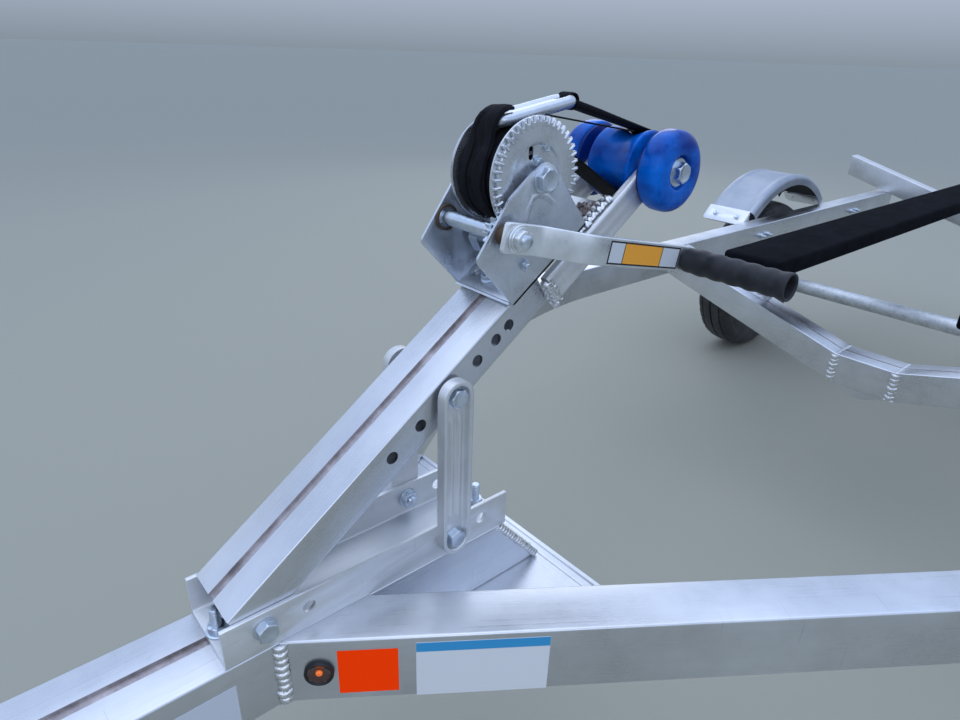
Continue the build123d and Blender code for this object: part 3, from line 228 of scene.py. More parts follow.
def skin(bm, rings, caps=(0, -1), mat=0, closed=True):
    """Skins rings of points, with end faces on the rings in caps; the UV is length and girth in metres."""
    uv = bm.loops.layers.uv.verify()
    rows = [[bm.verts.new(p) for p in ring] for ring in rings]
    n = len(rings[0])
    span = n if closed else n - 1
    along = 0.0
    for a, b, pa, pb in zip(rows, rows[1:], rings, rings[1:]):
        step = max((Vector(pb[i]) - Vector(pa[i])).length for i in range(0, n, max(1, n // 4)))
        around = 0.0
        for i in range(span):
            j = (i + 1) % n
            width = (Vector(pa[j]) - Vector(pa[i])).length
            try:
                f = bm.faces.new((a[i], a[j], b[j], b[i]))
            except ValueError:
                continue
            f.material_index = mat
            for loop, c in zip(f.loops, ((along, around), (along, around + width),
                                         (along + step, around + width), (along + step, around))):
                loop[uv].uv = c
            around += width
        along += step
    for end in caps:
        bm.faces.new(rows[end]).material_index = mat
    return rows


def paint_heat_and_light(bm, lines, reach):
    """A value from 1 at the lines to 0 at reach, as a point attribute: heat near welds, and the crank bar's
    painted highlight.
    """
    layer = bm.verts.layers.float.get("heat") or bm.verts.layers.float.new("heat")
    for v in bm.verts:
        near = 9.0
        for a, b in lines:
            a, b = Vector(a), Vector(b)
            t = max(0.0, min(1.0, (v.co - a).dot(b - a) / max((b - a).length_squared, 1e-9)))
            near = min(near, (v.co - a - t * (b - a)).length)
        v[layer] = max(v[layer], 1.0 - near / reach) if near < reach else v[layer]


def split_near(values, marks, reach, step):
    """Adds stations every step within reach of each mark, so that heat has points to sit on."""
    out = set(values)
    lo, hi = min(values), max(values)
    for m in marks:
        k = -reach
        while k <= reach:
            if lo < m + k < hi:
                out.add(round(m + k, 5))
            k += step
    return sorted(out)


MITRE_TOP, MITRE_LOW, TONGUE_END = BX - 0.328, BX - 0.396, 1.931
bm = bmesh.new()
stations = split_near([TONGUE_END, MITRE_TOP + 0.02], [BX - 0.05, BX - 0.1, BX - 0.15, MITRE_TOP + 0.03],
                      0.05, 0.012)[::-1]
outer = ring_box(2 * HALF_W, BOX_H, 0.0028, 0.004, 0.0058)
inner = ring_box(0.081, 0.072, 0.0015, 0.0)
rings = [[(x, a, MID_Z + b) for a, b in outer] for x in stations]
slope = (MITRE_TOP - MITRE_LOW) / BOX_H
rings.append([(MITRE_TOP - slope * (BOX_H / 2 - b), a, MID_Z + b) for a, b in outer])
rings.append([(MITRE_TOP - slope * (BOX_H / 2 - b), a, MID_Z + b) for a, b in inner])
rings.append([(MITRE_TOP + 0.2 - slope * (BOX_H / 2 - b), a, MID_Z + b) for a, b in inner])
skin(bm, rings)
shade_groove(bm, 10, 3, 24)
weld_lines = [((BX - 0.051, s * HALF_W, TOP), (BX - 0.051, s * HALF_W, UNDER)) for s in (1, -1)]
weld_lines += [((MITRE_TOP, s * HALF_W, TOP), (MITRE_LOW, s * HALF_W, UNDER)) for s in (1, -1)]
paint_heat_and_light(bm, weld_lines, 0.035)
finished("tongue_tube", bm, [MILL, GROOVE_SHADE], gone="tongue")

BEND_X, BEND_Y, BEND_C, RAIL_A = BX - 1.243, RAIL_Y - 1.0, 1.0295, radians(35.3)
REAR_X = BX - 3.262
for side, name in ((1, "left"), (-1, "right")):
    bm = bmesh.new()
    outer = ring_box(0.059, BOX_H, 0.0028)
    inner = ring_box(0.051, 0.072, 0.0015)
    sa, ca = sin(RAIL_A), cos(RAIL_A)
    start = Vector((BEND_X + BEND_C * sa, BEND_Y + BEND_C * ca, MID_Z))
    go, out = Vector((ca, -sa, 0)), Vector((sa, ca, 0))
    run = (start.y - HALF_W) / sa
    rings = []
    front = []
    for a, b in outer:
        p = start + out * a + Vector((0, 0, b))
        front.append(p + go * ((p.y - HALF_W) / sa))
    rings.append(front)
    for d in split_near([0.1, run - 0.055], [run - 0.08, run - 0.35], 0.05, 0.012)[::-1]:
        rings.append([start + go * d + out * a + Vector((0, 0, b)) for a, b in outer])
    for k in range(41):
        t = RAIL_A * (1 - k / 40)
        rings.append([(BEND_X + (BEND_C + a) * sin(t), BEND_Y + (BEND_C + a) * cos(t), MID_Z + b)
                      for a, b in outer])
    for x, ring in ((REAR_X, outer), (REAR_X, inner), (REAR_X + 0.25, inner)):
        rings.append([(x, BEND_Y + BEND_C + a, MID_Z + b) for a, b in ring])
    rings = [[(p[0], side * p[1], p[2]) for p in ring] for ring in rings]
    skin(bm, rings)
    paint_heat_and_light(bm, weld_lines[:2], 0.035)
    finished("rail_tube_" + name, bm, MILL, gone="rail_" + name)


# Cross-members and gusset: the front V is butted between the rails, mitred and welded in its middle, with a
# keel plate. The rear V sits on the rails. A thin plate closes the corner under tongue and rails, with a
# grooved bar across its rear.
def along_uv(bm, axis, mat=None):
    """UV in metres on every face, its first coordinate along axis, for pieces that aren't skinned."""
    uv = bm.loops.layers.uv.verify()
    axis = Vector(axis).normalized()
    for f in bm.faces:
        if mat is not None and f.material_index != mat:
            continue
        other = f.normal.cross(axis)
        if other.length < 0.2:
            other = Vector((0, 0, 1)) if abs(axis.z) < 0.8 else Vector((1, 0, 0))
        other.normalize()
        for loop in f.loops:
            loop[uv].uv = (loop.vert.co.dot(axis), loop.vert.co.dot(other))


def headings(points):
    """Each point of a 2-D path, with the unit vector to the left of the path there."""
    out = []
    for i, p in enumerate(points):
        way = (Vector(points[min(i + 1, len(points) - 1)]) - Vector(points[max(i - 1, 0)])).normalized()
        out.append((Vector(p), Vector((-way.y, way.x))))
    return out


def soften(bm, width, segments=2, angle=28.0, geom=None):
    """Rounds every edge sharper than angle."""
    bmesh.ops.recalc_face_normals(bm, faces=bm.faces)
    edges = [e for e in (geom or bm.edges)
             if len(e.link_faces) == 2 and e.calc_face_angle(0) > radians(angle)]
    bmesh.ops.bevel(bm, geom=edges, offset=width, segments=segments, profile=0.5, affect="EDGES",
                    clamp_overlap=True)


def oblong(a0, a1, b0, b1, place=None):
    """A rectangle's corners as pairs, or as the points that place makes of them; place can be a height."""
    pairs = [(a0, b0), (a1, b0), (a1, b1), (a0, b1)]
    if place is None:
        return pairs
    return [place(a, b) if callable(place) else (a, b, place) for a, b in pairs]


def prism(bm, points, push):
    """A solid between a polygon and its copy moved by push; returns its faces."""
    base = bm.faces.new([bm.verts.new(p) for p in points])
    corners = list(base.verts)
    made = bmesh.ops.extrude_face_region(bm, geom=[base], use_keep_orig=True)
    corners += [v for v in made["geom"] if isinstance(v, bmesh.types.BMVert)]
    bmesh.ops.translate(bm, verts=corners[len(points):], vec=push)
    return {f for v in corners for f in v.link_faces}


def bead(bm, path, normal, width, height, step=0.0045, mat=0, seed=1, wobble=1.0):
    """A weld bead like a row of fallen coins: a rippled ridge, with painted shade in its creases kept as a
    point attribute.
    """
    rng = random.Random(seed)
    path = [Vector(p) for p in path]
    lengths = [(b - a).length for a, b in zip(path, path[1:])]
    total = sum(lengths)
    per = 9
    count = max(2, int(total / step))
    rows, creases = [], []
    normal = Vector(normal).normalized()
    jit = [rng.uniform(-1, 1) for _ in range(count + 3)]
    for i in range(count * per + 1):
        d = total * i / (count * per)
        k, rest = 0, d
        while k < len(lengths) - 1 and rest > lengths[k]:
            rest -= lengths[k]
            k += 1
        p = path[k].lerp(path[k + 1], rest / lengths[k])
        way = (path[k + 1] - path[k]).normalized()
        across = way.cross(normal).normalized()
        coin = i / per
        j = jit[min(int(coin), count)]
        row, dark = [], []
        for c in range(13):
            v = -1 + c / 6
            phase = (coin + 0.55 * v * v) % 1.0
            swell = sin(pi * phase) ** 0.55
            w = width / 2 * (0.88 + 0.16 * swell + 0.08 * j * wobble)
            lift = max(0.0,
                       1 - v * v) ** 0.5 * height * (0.5 + 0.46 * swell + 0.1 * phase + 0.08 * j * wobble)
            row.append(p + across * (v * w + 0.0004 * j * wobble) + normal * (lift - 0.0003))
            dark.append(1.0 - swell)
        rows.append(row)
        creases.append(dark)
    layer = bm.verts.layers.float.get("heat") or bm.verts.layers.float.new("heat")
    for made, dark in zip(skin(bm, rows, mat=mat, closed=False), creases):
        for v, value in zip(made, dark):
            v[layer] = value


WELD_MAT, nt, bsdf = material("weld_metal", (0.66, 0.67, 0.68), 0.3, 1.0)
dust = grain(nt, 420, 3, 0.5)
bright = tint(ramp(dust, 0.35, 0.7), (0.6, 0.61, 0.62), (0.84, 0.85, 0.87))
# dark creases between the bead's ripples: painted shade, read from the bead's point attribute
feed(bsdf, "Base Color", tint(ramp(heat_and_light_value(nt), 0.35, 0.95, 0.0, 0.85), bright, (0.1, 0.1, 0.09)))
feed(bsdf, "Roughness", ramp(dust, 0.35, 0.7, 0.24, 0.4))
bump(bsdf, dust, 0.0001, 0.3)

bm = bmesh.new()
# the front V's middle, depth, top and height, and its arms' slope
VEE_FLAT = 0.072
vx, vd, vtop, vh, vee_slope = BX - 1.59, 0.089, 0.392, 0.077, (0.546 - 0.392) / 0.52
rings = []
for y, top in ((-RAIL_Y, 0.546), (-VEE_FLAT, vtop), (VEE_FLAT, vtop), (RAIL_Y, 0.546)):
    rings.append([(vx - vd / 2 + a, y, top - vh / 2 + b)
                  for a, b in ring_box(vd, vh, 0.0028, 0.0022, 0.0022)])
skin(bm, rings)
shade_groove(bm, 10, 3, 24)
keel = [(-0.071, 0.001), (0.071, 0.001), (0.012, -0.023), (-0.012, -0.023)]
prism(bm, [(vx - 0.006, y, vtop - vh + z) for y, z in keel], (-0.0055, 0, 0))
bmesh.ops.subdivide_edges(bm, edges=[e for e in bm.edges if abs(e.verts[0].co.y - e.verts[1].co.y) > 0.1],
                          cuts=24)
along_uv(bm, (0, 1, 0))
seams = [((vx - 0.012, s * VEE_FLAT, vtop), (vx - 0.08, s * 0.06, vtop)) for s in (1, -1)]
seams += [((vx, s * VEE_FLAT, vtop), (vx, s * VEE_FLAT, vtop - vh)) for s in (1, -1)]
seams += [((vx, -0.07, vtop - vh), (vx, 0.07, vtop - vh)),
          ((vx - 0.03, 0.045, vtop), (vx - 0.06, -0.035, vtop))]
paint_heat_and_light(bm, seams, 0.046)
finished("front_vee", bm, [MILL, GROOVE_SHADE], gone="cross_member_front", angle=20)

bm = bmesh.new()
# the rear V's middle, depth, height and slope
rx, rd, rh, rear_slope = BX - 3.2, 0.06, 0.083, 0.29
rmid = TOP + rh - (RAIL_Y - VEE_FLAT) * rear_slope
rend = rmid + (0.776 - VEE_FLAT) * rear_slope
rings = []
outer, inner = ring_box(rd, rh, 0.0028), ring_box(rd - 0.008, rh - 0.008, 0.0015)
half = [(0.656, rend - 0.12 * rear_slope, inner), (0.776, rend, inner), (0.776, rend, outer),
        (VEE_FLAT, rmid, outer)]
for y, top, ring in [(-y, top, ring) for y, top, ring in half] + half[::-1]:
    rings.append([(rx - rd / 2 + a, y, top - rh / 2 + b) for a, b in ring])
skin(bm, rings)
finished("rear_vee", bm, MILL, gone="cross_member_rear")

bm = bmesh.new()
gx = BX - 0.401
prism(bm, [(BX - 0.062, 0.04, UNDER), (gx, 0.25, UNDER), (gx, -0.25, UNDER), (BX - 0.062, -0.04, UNDER)],
      (0, 0, -0.005))
bar = [(0, 0), (0, -0.036), (-0.02, -0.036), (-0.02, 0), (-0.0135, 0), (-0.0128, -0.0018),
       (-0.0072, -0.0018), (-0.0065, 0)]
prism(bm, [(gx + a, -0.258, UNDER + b) for a, b in bar], (0, 0.516, 0))
soften(bm, 0.0006, 1, 40)
along_uv(bm, (0, 1, 0))
paint_heat_and_light(bm, [((MITRE_LOW, -HALF_W, UNDER), (MITRE_LOW, HALF_W, UNDER)),
                ((BX - 0.1, 0.07, UNDER), (gx, 0.24, UNDER))], 0.06)
finished("gusset", bm, MILL, gone="gusset_plate")

bm = bmesh.new()
for sgn in (1, -1):
    bead(bm, [(BX - 0.0505, sgn * 0.045, TOP - 0.0015), (BX - 0.0505, sgn * 0.045, TOP - 0.0785)],
         (0.35, sgn, 0), 0.0165, 0.0062, 0.008, seed=3)
    bead(bm, [(MITRE_TOP - 0.002, sgn * 0.0448, TOP - 0.002), (MITRE_LOW, sgn * 0.0448, TOP - 0.078)],
         (0.2, sgn, 0.1), 0.01, 0.0045, 0.0062, seed=5)
    bead(bm, [(vx + 0.0002, sgn * VEE_FLAT, vtop - 0.004),
              (vx + 0.0002, sgn * VEE_FLAT, vtop - vh + 0.004)], (1, 0, 0), 0.023, 0.006, 0.0115,
         seed=8 + sgn, wobble=1.5)
    bead(bm, [(vx - 0.0882, sgn * VEE_FLAT, vtop - 0.004),
              (vx - 0.0882, sgn * VEE_FLAT, vtop - vh + 0.004)], (-1, 0, 0), 0.012, 0.0006, 0.0085, seed=8)
    bead(bm, [(vx - 0.003, sgn * VEE_FLAT, vtop - 0.0004), (vx - 0.086, sgn * VEE_FLAT, vtop - 0.0004)],
         (0, 0, 1), 0.01, 0.0022, 0.0075, seed=13 + sgn)
    bead(bm, [(vx - 0.001, sgn * 0.5905, 0.541), (vx - 0.001, sgn * 0.5905, 0.474)], (1, -sgn, 0), 0.01,
         0.005, 0.007, seed=17 + sgn)
bead(bm, [(gx + 0.0015, -0.03, 0.47), (gx + 0.0015, 0.03, 0.47)], (1, 0, 1), 0.009, 0.004, 0.005, seed=9)
along_uv(bm, (0, 1, 0))
finished("frame_welds", bm, WELD_MAT, angle=60)


# Winch bracket: a plain channel of 5 mm aluminium, 339 mm long, 44 mm high, bolted down on the tongue.
# Four holes across its flanges take the post's foot bolt and the struts; two are empty.
def cut_out(bm, tools):
    """The bmesh less the closed tool meshes, by an exact boolean; both are freed."""
    me, tm = bpy.data.meshes.new("cut_a"), bpy.data.meshes.new("cut_b")
    bmesh.ops.recalc_face_normals(bm, faces=bm.faces)
    bmesh.ops.recalc_face_normals(tools, faces=tools.faces)
    bm.to_mesh(me)
    tools.to_mesh(tm)
    bm.free()
    tools.free()
    a, b = bpy.data.objects.new("cut_a", me), bpy.data.objects.new("cut_b", tm)
    for ob in (a, b):
        bpy.context.scene.collection.objects.link(ob)
    mod = a.modifiers.new("cut", "BOOLEAN")
    mod.operation, mod.solver, mod.object = "DIFFERENCE", "EXACT", b
    bpy.context.view_layer.update()
    done = bpy.data.meshes.new_from_object(a.evaluated_get(bpy.context.evaluated_depsgraph_get()))
    out = bmesh.new()
    out.from_mesh(done)
    for ob in (a, b):
        bpy.data.objects.remove(ob)
    for m in (me, tm, done):
        bpy.data.meshes.remove(m)
    return out


def rod(bm, a, b, r, segments=32, mat=0, r2=None):
    """A cylinder from a to b, or a cone that ends with radius r2."""
    a, b = Vector(a), Vector(b)
    place = Matrix.Translation((a + b) / 2) @ (b - a).to_track_quat("Z", "Y").to_matrix().to_4x4()
    end = r if r2 is None else r2
    made = bmesh.ops.create_cone(bm, cap_ends=True, segments=segments, radius1=r, radius2=end,
                                 depth=(b - a).length, matrix=place)
    for f in {f for v in made["verts"] for f in v.link_faces}:
        f.material_index = mat


bm = bmesh.new()
bracket_l, flange, inside, HOLE_R = 0.339, 0.044, 0.0395, 0.00665
corner = [(0, 0), (0, flange), (inside - HALF_W, flange), (inside - HALF_W, 0.0075),
          (inside - HALF_W - 0.0007, 0.0057), (inside - HALF_W - 0.0025, 0.005)]
u_shape = [(HALF_W + a, b) for a, b in corner]
u_shape += [(-a, b) for a, b in u_shape[::-1]]
prism(bm, [(BX, y, TOP + z) for y, z in u_shape], (-bracket_l, 0, 0))
tools = bmesh.new()
for dx in (0.04, 0.084, 0.256, 0.3):
    rod(tools, (BX - dx, -0.06, TOP + 0.025), (BX - dx, 0.06, TOP + 0.025), HOLE_R)
bm = cut_out(bm, tools)
soften(bm, 0.0007, 2, 35)
along_uv(bm, (1, 0, 0))
finished("bracket_channel", bm, FLATBAR, gone="post_bracket")


# Winch post: flat aluminium tube, 78 by 41 mm, leaning back 35.3 degrees, with a groove down its front.
# Square-cut open ends, a row of adjusting holes through its sides.
PDX, PDZ = -cos(radians(35.3)), sin(radians(35.3))
DRUM_S, DRUM_N, CRANK_S, CRANK_N = 494, 83, 425, 74.5


def post(s, y, n):
    """A point in the post's frame, in millimetres: along it, to the left, out of its front face."""
    return Vector((BX - 0.009 + (s * PDX + n * PDZ) / 1000, y / 1000,
                   TOP + 0.048 + (s * PDZ - n * PDX) / 1000))


bm = bmesh.new()
outer = ring_box(78.4, 41.0, 2.8, 3.5, 5.4, 5)
inner = ring_box(70.4, 33.0, 1.5, 0.0, 5.4, 5)
walls = ((0, outer), (440, outer), (440, inner), (0, inner))
rings = [[post(t, a, b - 20.5) for a, b in ring] for t, ring in walls]
skin(bm, rings + [rings[0]], caps=())
bmesh.ops.remove_doubles(bm, verts=bm.verts, dist=0.00001)
tools = bmesh.new()
for t, nn in ((203, -19.5), (245, -19.5), (288.8, -19.5), (333, -19.5), (363, -19.5), (384, -19.5),
              (12, -36.7)):
    rod(tools, post(t, -60, nn), post(t, 60, nn), HOLE_R)
bm = cut_out(bm, tools)
# the groove's faces get material 1, the painted shade
for f in bm.faces:
    c = f.calc_center_median() - post(0, 0, 0)
    depth = 1000 * (c.x * PDZ - c.z * PDX)
    f.material_index = 1 if abs(c.y) < 0.0056 and -3.6 < depth < -0.1 else 0
along_uv(bm, (PDX, 0, PDZ))
finished("post_tube", bm, [MILL, GROOVE_SHADE], gone="winch_post")


# Struts: two upright fluted links with round ends and a raised rim, bolted outside bracket and post.
def slot_ring(inset, x, z0, z1, r, y, n=12):
    """Points of an upright slot outline pulled in by inset."""
    out = []
    for k, z in ((0, z1), (1, z0)):
        for i in range(n + 1):
            a = pi * (i / n + k)
            out.append((x + (r - inset) * cos(a), y, z + (r - inset) * sin(a)))
    return out


bm = bmesh.new()
for side in (1, -1):
    z0, z1, sx = TOP + 0.025, TOP + 0.199, BX - 0.256
    profile = [(0.0, 0.0), (0.0, 0.0103), (0.0005, 0.0114), (0.0016, 0.0119), (0.0036, 0.0119),
               (0.0048, 0.0113), (0.0055, 0.01), (0.0062, 0.0062), (0.0068, 0.005), (0.008, 0.0044),
               (0.01, 0.0044)]
    skin(bm, [slot_ring(d, sx, z0, z1, 0.019, side * (HALF_W + h)) for d, h in profile], caps=(0,))
    rows = []
    steps = 48
    for i in range(steps + 1):
        z = z0 - 0.0095 + (z1 - z0 + 0.019) * i / steps
        past = max(z0 - z, z - z1, 0.0)
        half = sqrt(max(0.0, 0.0096 ** 2 - past ** 2)) + 0.0012
        inner_z = min(z - z0, z1 - z)
        fade = max(0.0, min(1.0, (inner_z - 0.018) / 0.012))
        fade = fade * fade * (3 - 2 * fade)
        row = []
        for j in range(25):
            x = -half + 2 * half * j / 24
            flute = 0.003 * (0.5 - 0.5 * cos(tau * (x + 0.0102) / 0.0102)) if abs(x) < 0.0102 else 0.0
            row.append((sx + x, side * (HALF_W + 0.00435 + flute * fade), z))
        rows.append(row)
    skin(bm, rows, caps=(), closed=False)
along_uv(bm, (0, 0, 1))
finished("struts", bm, FLATBAR, gone="post_struts", angle=40)


# Bolts of bracket, post and struts: zinc-plated hexagon heads, washers, nuts and thread ends.
ZINC, nt, bsdf = material("zinc", (0.5, 0.58, 0.66), 0.22, 1.0)
cloud = grain(nt, 90, 4, 0.6)
feed(bsdf, "Base Color", tint(ramp(cloud, 0.3, 0.7), (0.52, 0.6, 0.68), (0.72, 0.78, 0.86)))
feed(bsdf, "Roughness", ramp(cloud, 0.3, 0.7, 0.22, 0.42))
bump(bsdf, cloud, 0.0004, 0.3)


def hexagon(bm, at, axis, across, height, spin=0.0, mat=0, nut=False):
    """Hexagon with its corners chamfered by a cone; across is over the flats."""
    at, axis = Vector(at), Vector(axis).normalized()
    side = axis.orthogonal().normalized()
    other = axis.cross(side)
    c = across / 2
    big, fall = c * 1.16, c * 0.16 * 0.55
    outer = [(0.0, c), (height * 0.06, c * 1.06)] if nut else [(0.0, big)]
    outer += [(height - fall - 0.0001, big), (height - fall / 2, c * 1.08), (height, c * 0.99)]
    lip, dip, middle = (0.6, 0.0012, 0.54) if nut else (0.86, 0.0003, 0.8)
    outer += [(height, c * lip), (height - dip, c * middle)]
    loops = []
    for h, limit in outer:
        loops.append([])
        for a in [tau * i / 48 for i in range(48)]:
            flat = c / cos(a % (pi / 3) - pi / 6)
            way = side * cos(a + spin) + other * sin(a + spin)
            loops[-1].append(at + axis * h + way * min(flat, limit))
    skin(bm, loops, mat=mat)


def take_in(bm, part):
    """Moves part's mesh into bm."""
    me = bpy.data.meshes.new("part")
    part.to_mesh(me)
    part.free()
    bm.from_mesh(me)
    bpy.data.meshes.remove(me)


def turned(bm, at, axis, profile, steps=48, mat=0, caps="", first=None):
    """Spins (along, radius) points about an axis; a profile that ends where it starts is closed."""
    at, axis = Vector(at), Vector(axis).normalized()
    out = Vector(first) if first else axis.orthogonal().normalized()
    closed = profile[0] == profile[-1]
    part = bmesh.new()
    verts = [part.verts.new(at + axis * h + out * r) for h, r in (profile[:-1] if closed else profile)]
    edges = [part.edges.new(pair) for pair in zip(verts, verts[1:])]
    if closed:
        edges.append(part.edges.new((verts[-1], verts[0])))
    bmesh.ops.spin(part, geom=verts + edges, cent=at, axis=axis, angle=tau, steps=steps, use_merge=True)
    rim = [e for e in part.edges if e.is_boundary]
    if caps == "last":
        rim = [e for e in rim if abs((e.verts[0].co - at).dot(axis) - profile[-1][0]) < 1e-6]
    if caps:
        bmesh.ops.holes_fill(part, edges=rim, sides=0)
    for f in part.faces:
        f.material_index = mat
    take_in(bm, part)


def mm(profile):
    """A profile in millimetres as metres."""
    return [(h / 1000, r / 1000) for h, r in profile]


def washer(bm, at, axis, r, hole, t, mat=0):
    """A flat ring with its outer edges rounded, t thick."""
    edge = [(0, r - 0.0004), (t * 0.3, r), (t * 0.75, r), (t, r - 0.0005)]
    turned(bm, at, axis, [(0, hole), *edge, (t, hole), (0, hole)], 40, mat)


def stud(bm, at, axis, r, length, pitch=0.0016, mat=0):
    """Threaded end: rings that go in and out by the pitch, a chamfer at the tip."""
    count = max(2, int(length / pitch))
    steps = [(0.0, r)]
    for i in range(count):
        steps += [((i + 0.3) * length / count, r), ((i + 0.75) * length / count, r * 0.86)]
    steps += [(length - 0.0008, r * 0.97), (length, r * 0.78)]
    turned(bm, at, axis, steps, 24, mat, caps="both")


bm = bmesh.new()
for side in (1, -1):
    for bx, bz, head_y, spin in ((BX - 0.04, TOP + 0.025, HALF_W, 0.3),
                                 (BX - 0.256, TOP + 0.025, 0.0489, 0.1),
                                 (BX - 0.256, TOP + 0.199, 0.0489, 0.62)):
        way = (0, side, 0)
        washer(bm, (bx, side * (head_y + 0.0001), bz), way, 0.0118, 0.005, 0.0012)
        hexagon(bm, (bx, side * (head_y + 0.0013), bz), way, 0.0185, 0.0075, spin)
        if bz > TOP + 0.1:
            rod(bm, (bx, 0, bz), (bx, side * head_y, bz), 0.0062, 16)
        else:
            washer(bm, (bx, side * 0.0394, bz), (0, -side, 0), 0.0118, 0.005, 0.0015)
            hexagon(bm, (bx, side * 0.0379, bz), (0, -side, 0), 0.0185, 0.0075, spin + 0.4, nut=True)
            stud(bm, (bx, side * 0.031, bz), (0, -side, 0), 0.0058, 0.005)
            rod(bm, (bx, side * 0.036, bz), (bx, side * head_y, bz), 0.0062, 16)
for bx in (BX - 0.01, BX - 0.329):
    washer(bm, (bx, 0, TOP + 0.0051), (0, 0, 1), 0.0105, 0.0045, 0.0016)
    hexagon(bm, (bx, 0, TOP + 0.0067), (0, 0, 1), 0.016, 0.008, 0.35, nut=True)
    stud(bm, (bx, 0, TOP + 0.014), (0, 0, 1), 0.005, 0.0205, 0.0034)
finished("frame_bolts", bm, ZINC, gone="post_bolts", angle=40)


# Roller arms: two bars with rounded edges from a slotted end plate on the post's top to the bow roller.
# A thick weld runs along the near arm's upper edge and joins a small burnt plate between the arms.
bm = bmesh.new()
wavy = []
for turn in (1, -1):
    wavy += [(turn * (6.0 - 0.22 * (1 - cos(tau * 2 * i / 36))), turn * (-13.8 + 27.6 * i / 36))
             for i in range(37)]
    for i in range(1, 5):
        a = radians(18 * i)
        wavy.append((turn * (1.8 + 4.2 * cos(a)), turn * (13.8 + 4.2 * sin(a))))
    wavy += [(turn * 1.8, turn * 18.0), (-turn * 1.8, turn * 18.0)]
    for i in range(4, 0, -1):
        a = radians(18 * i)
        wavy.append((-turn * (1.8 + 4.2 * cos(a)), turn * (13.8 + 4.2 * sin(a))))
for side in (1, -1):
    rings = [[post(t, side * 37.5 + a, b - 31.5) for a, b in wavy]
             for t in (448, 470, 490, 510, 530, 550, 570, 590, 610, 638)]
    for i in range(1, 13):
        a2 = pi / 2 * i / 13
        k = cos(a2)
        rings.append([post(638 + 8 + 18 * sin(a2) - 8 * (1 - sin(a2)),
                           side * 37.5 + a * (1 - 0.12 * (1 - k)), b * k - 31.5) for a, b in wavy])
    skin(bm, rings)
ears = [(53, 1), (56, 10), (57, 24), (54, 31), (24, 62), (20, 64)]
ears += [(-y, d) for y, d in ears[::-1]]
plate = bmesh.new()
prism(plate, [post(440.2, y, -d) for y, d in ears], post(447.8, 0, 0) - post(440.2, 0, 0))
tools = bmesh.new()
for y in (-48, 48):
    for d0, d1 in ((8.5, 13.5), (24, 29)):
        for dd in (d0, d1):
            rod(tools, post(430, y, -dd), post(460, y, -dd), 0.0026, 20)
        prism(tools, oblong(y - 2.6, y + 2.6, -d0, -d1, lambda a, b: post(430, a, b)),
              post(460, 0, 0) - post(430, 0, 0))
plate = cut_out(plate, tools)
soften(plate, 0.0012, 2, 40)
take_in(bm, plate)
prism(bm, oblong(506, 566, -32, 32, lambda a, b: post(a, b, -14.5)), post(0, 0, -6) - post(0, 0, 0))
along_uv(bm, (PDX, 0, PDZ))
hot = [(post(510, y, -14), post(566, y, -14)) for y in (31, -31)]
hot += [(post(456, y, -20), post(590, y, -17)) for y in (43.5, -43.5)]
hot += [(post(566, 31, -14), post(566, -31, -14)), (post(540, 5, -14), post(560, 25, -14))]
paint_heat_and_light(bm, hot, 0.02)
finished("arms", bm, FLATBAR, gone="roller_arms", angle=40)

bm = bmesh.new()
up = (PDZ, 0, -PDX)
for side in (1, -1):
    bead(bm, [post(500, side * 31.5, -13.4), post(572, side * 30.5, -13.4)],
         Vector(up) - Vector((0, 0.35 * side, 0)), 0.0175, 0.007, 0.0075, seed=21 + side, wobble=1.6)
    bead(bm, [post(449, side * 44.2, -18), post(449, side * 44.2, -47)], (-PDX, side * 1.0, 0), 0.01, 0.004,
         0.006, seed=25, wobble=1.6)
    turn = [tau * k / 24 for k in range(25)]
    round_slot = [post(439.9, side * (48.6 + 5.0 * cos(a)), -27 + 17.5 * sin(a)) for a in turn]
    bead(bm, round_slot, (-PDX, 0, -PDZ), 0.0068, 0.0042, 0.0075, seed=27, wobble=1.4)
along_uv(bm, (0, 1, 0))
finished("arm_welds", bm, WELD_MAT, angle=60)
BURNT, nt, bsdf = material("burnt_weld", (0.22, 0.17, 0.15), 0.62, 0.5)
cells = grain(nt, 260, 4, 0.7)
feed(bsdf, "Base Color", tint(ramp(cells, 0.38, 0.62), (0.1, 0.07, 0.07), (0.5, 0.45, 0.42)))
bump(bsdf, cells, 0.0012, 0.9)
bm = bmesh.new()
for k in range(3):
    bead(bm, [post(530 + 10 * k, -6 + 5 * k, -14.3), post(540 + 8 * k, 12 + 5 * k, -14.3),
              post(552 + 4 * k, 27, -14.0)], up, 0.011, 0.0055 + 0.001 * k, 0.006, seed=31 + k, wobble=3.0)
finished("burnt_lumps", bm, BURNT, angle=60)


# Winch frame: zinc-plated 3 mm steel channel, two kite-shaped side plates on a base bolted to the post's
# front. The near plate has a pressed ridge, the drum's shaft goes through both plates' tops with a nut at
# each end.
def rounded(points, radii, n=5):
    """Polygon with its corners rounded; points are 2-D."""
    out = []
    count = len(points)
    for i, (p, r) in enumerate(zip(points, radii)):
        a, b, c = Vector(points[i - 1]), Vector(p), Vector(points[(i + 1) % count])
        u, v = (a - b).normalized(), (c - b).normalized()
        half = u.angle(v) / 2
        cutoff = min(r / tan(half), (a - b).length * 0.45, (c - b).length * 0.45)
        if r <= 0:
            out.append(tuple(b))
            continue
        p0, p1 = b + u * cutoff, b + v * cutoff
        for k in range(n + 1):
            t = k / n
            q = p0 * (1 - t) ** 2 + b * (2 * t * (1 - t)) + p1 * t ** 2
            out.append((q.x, q.y))
    return out


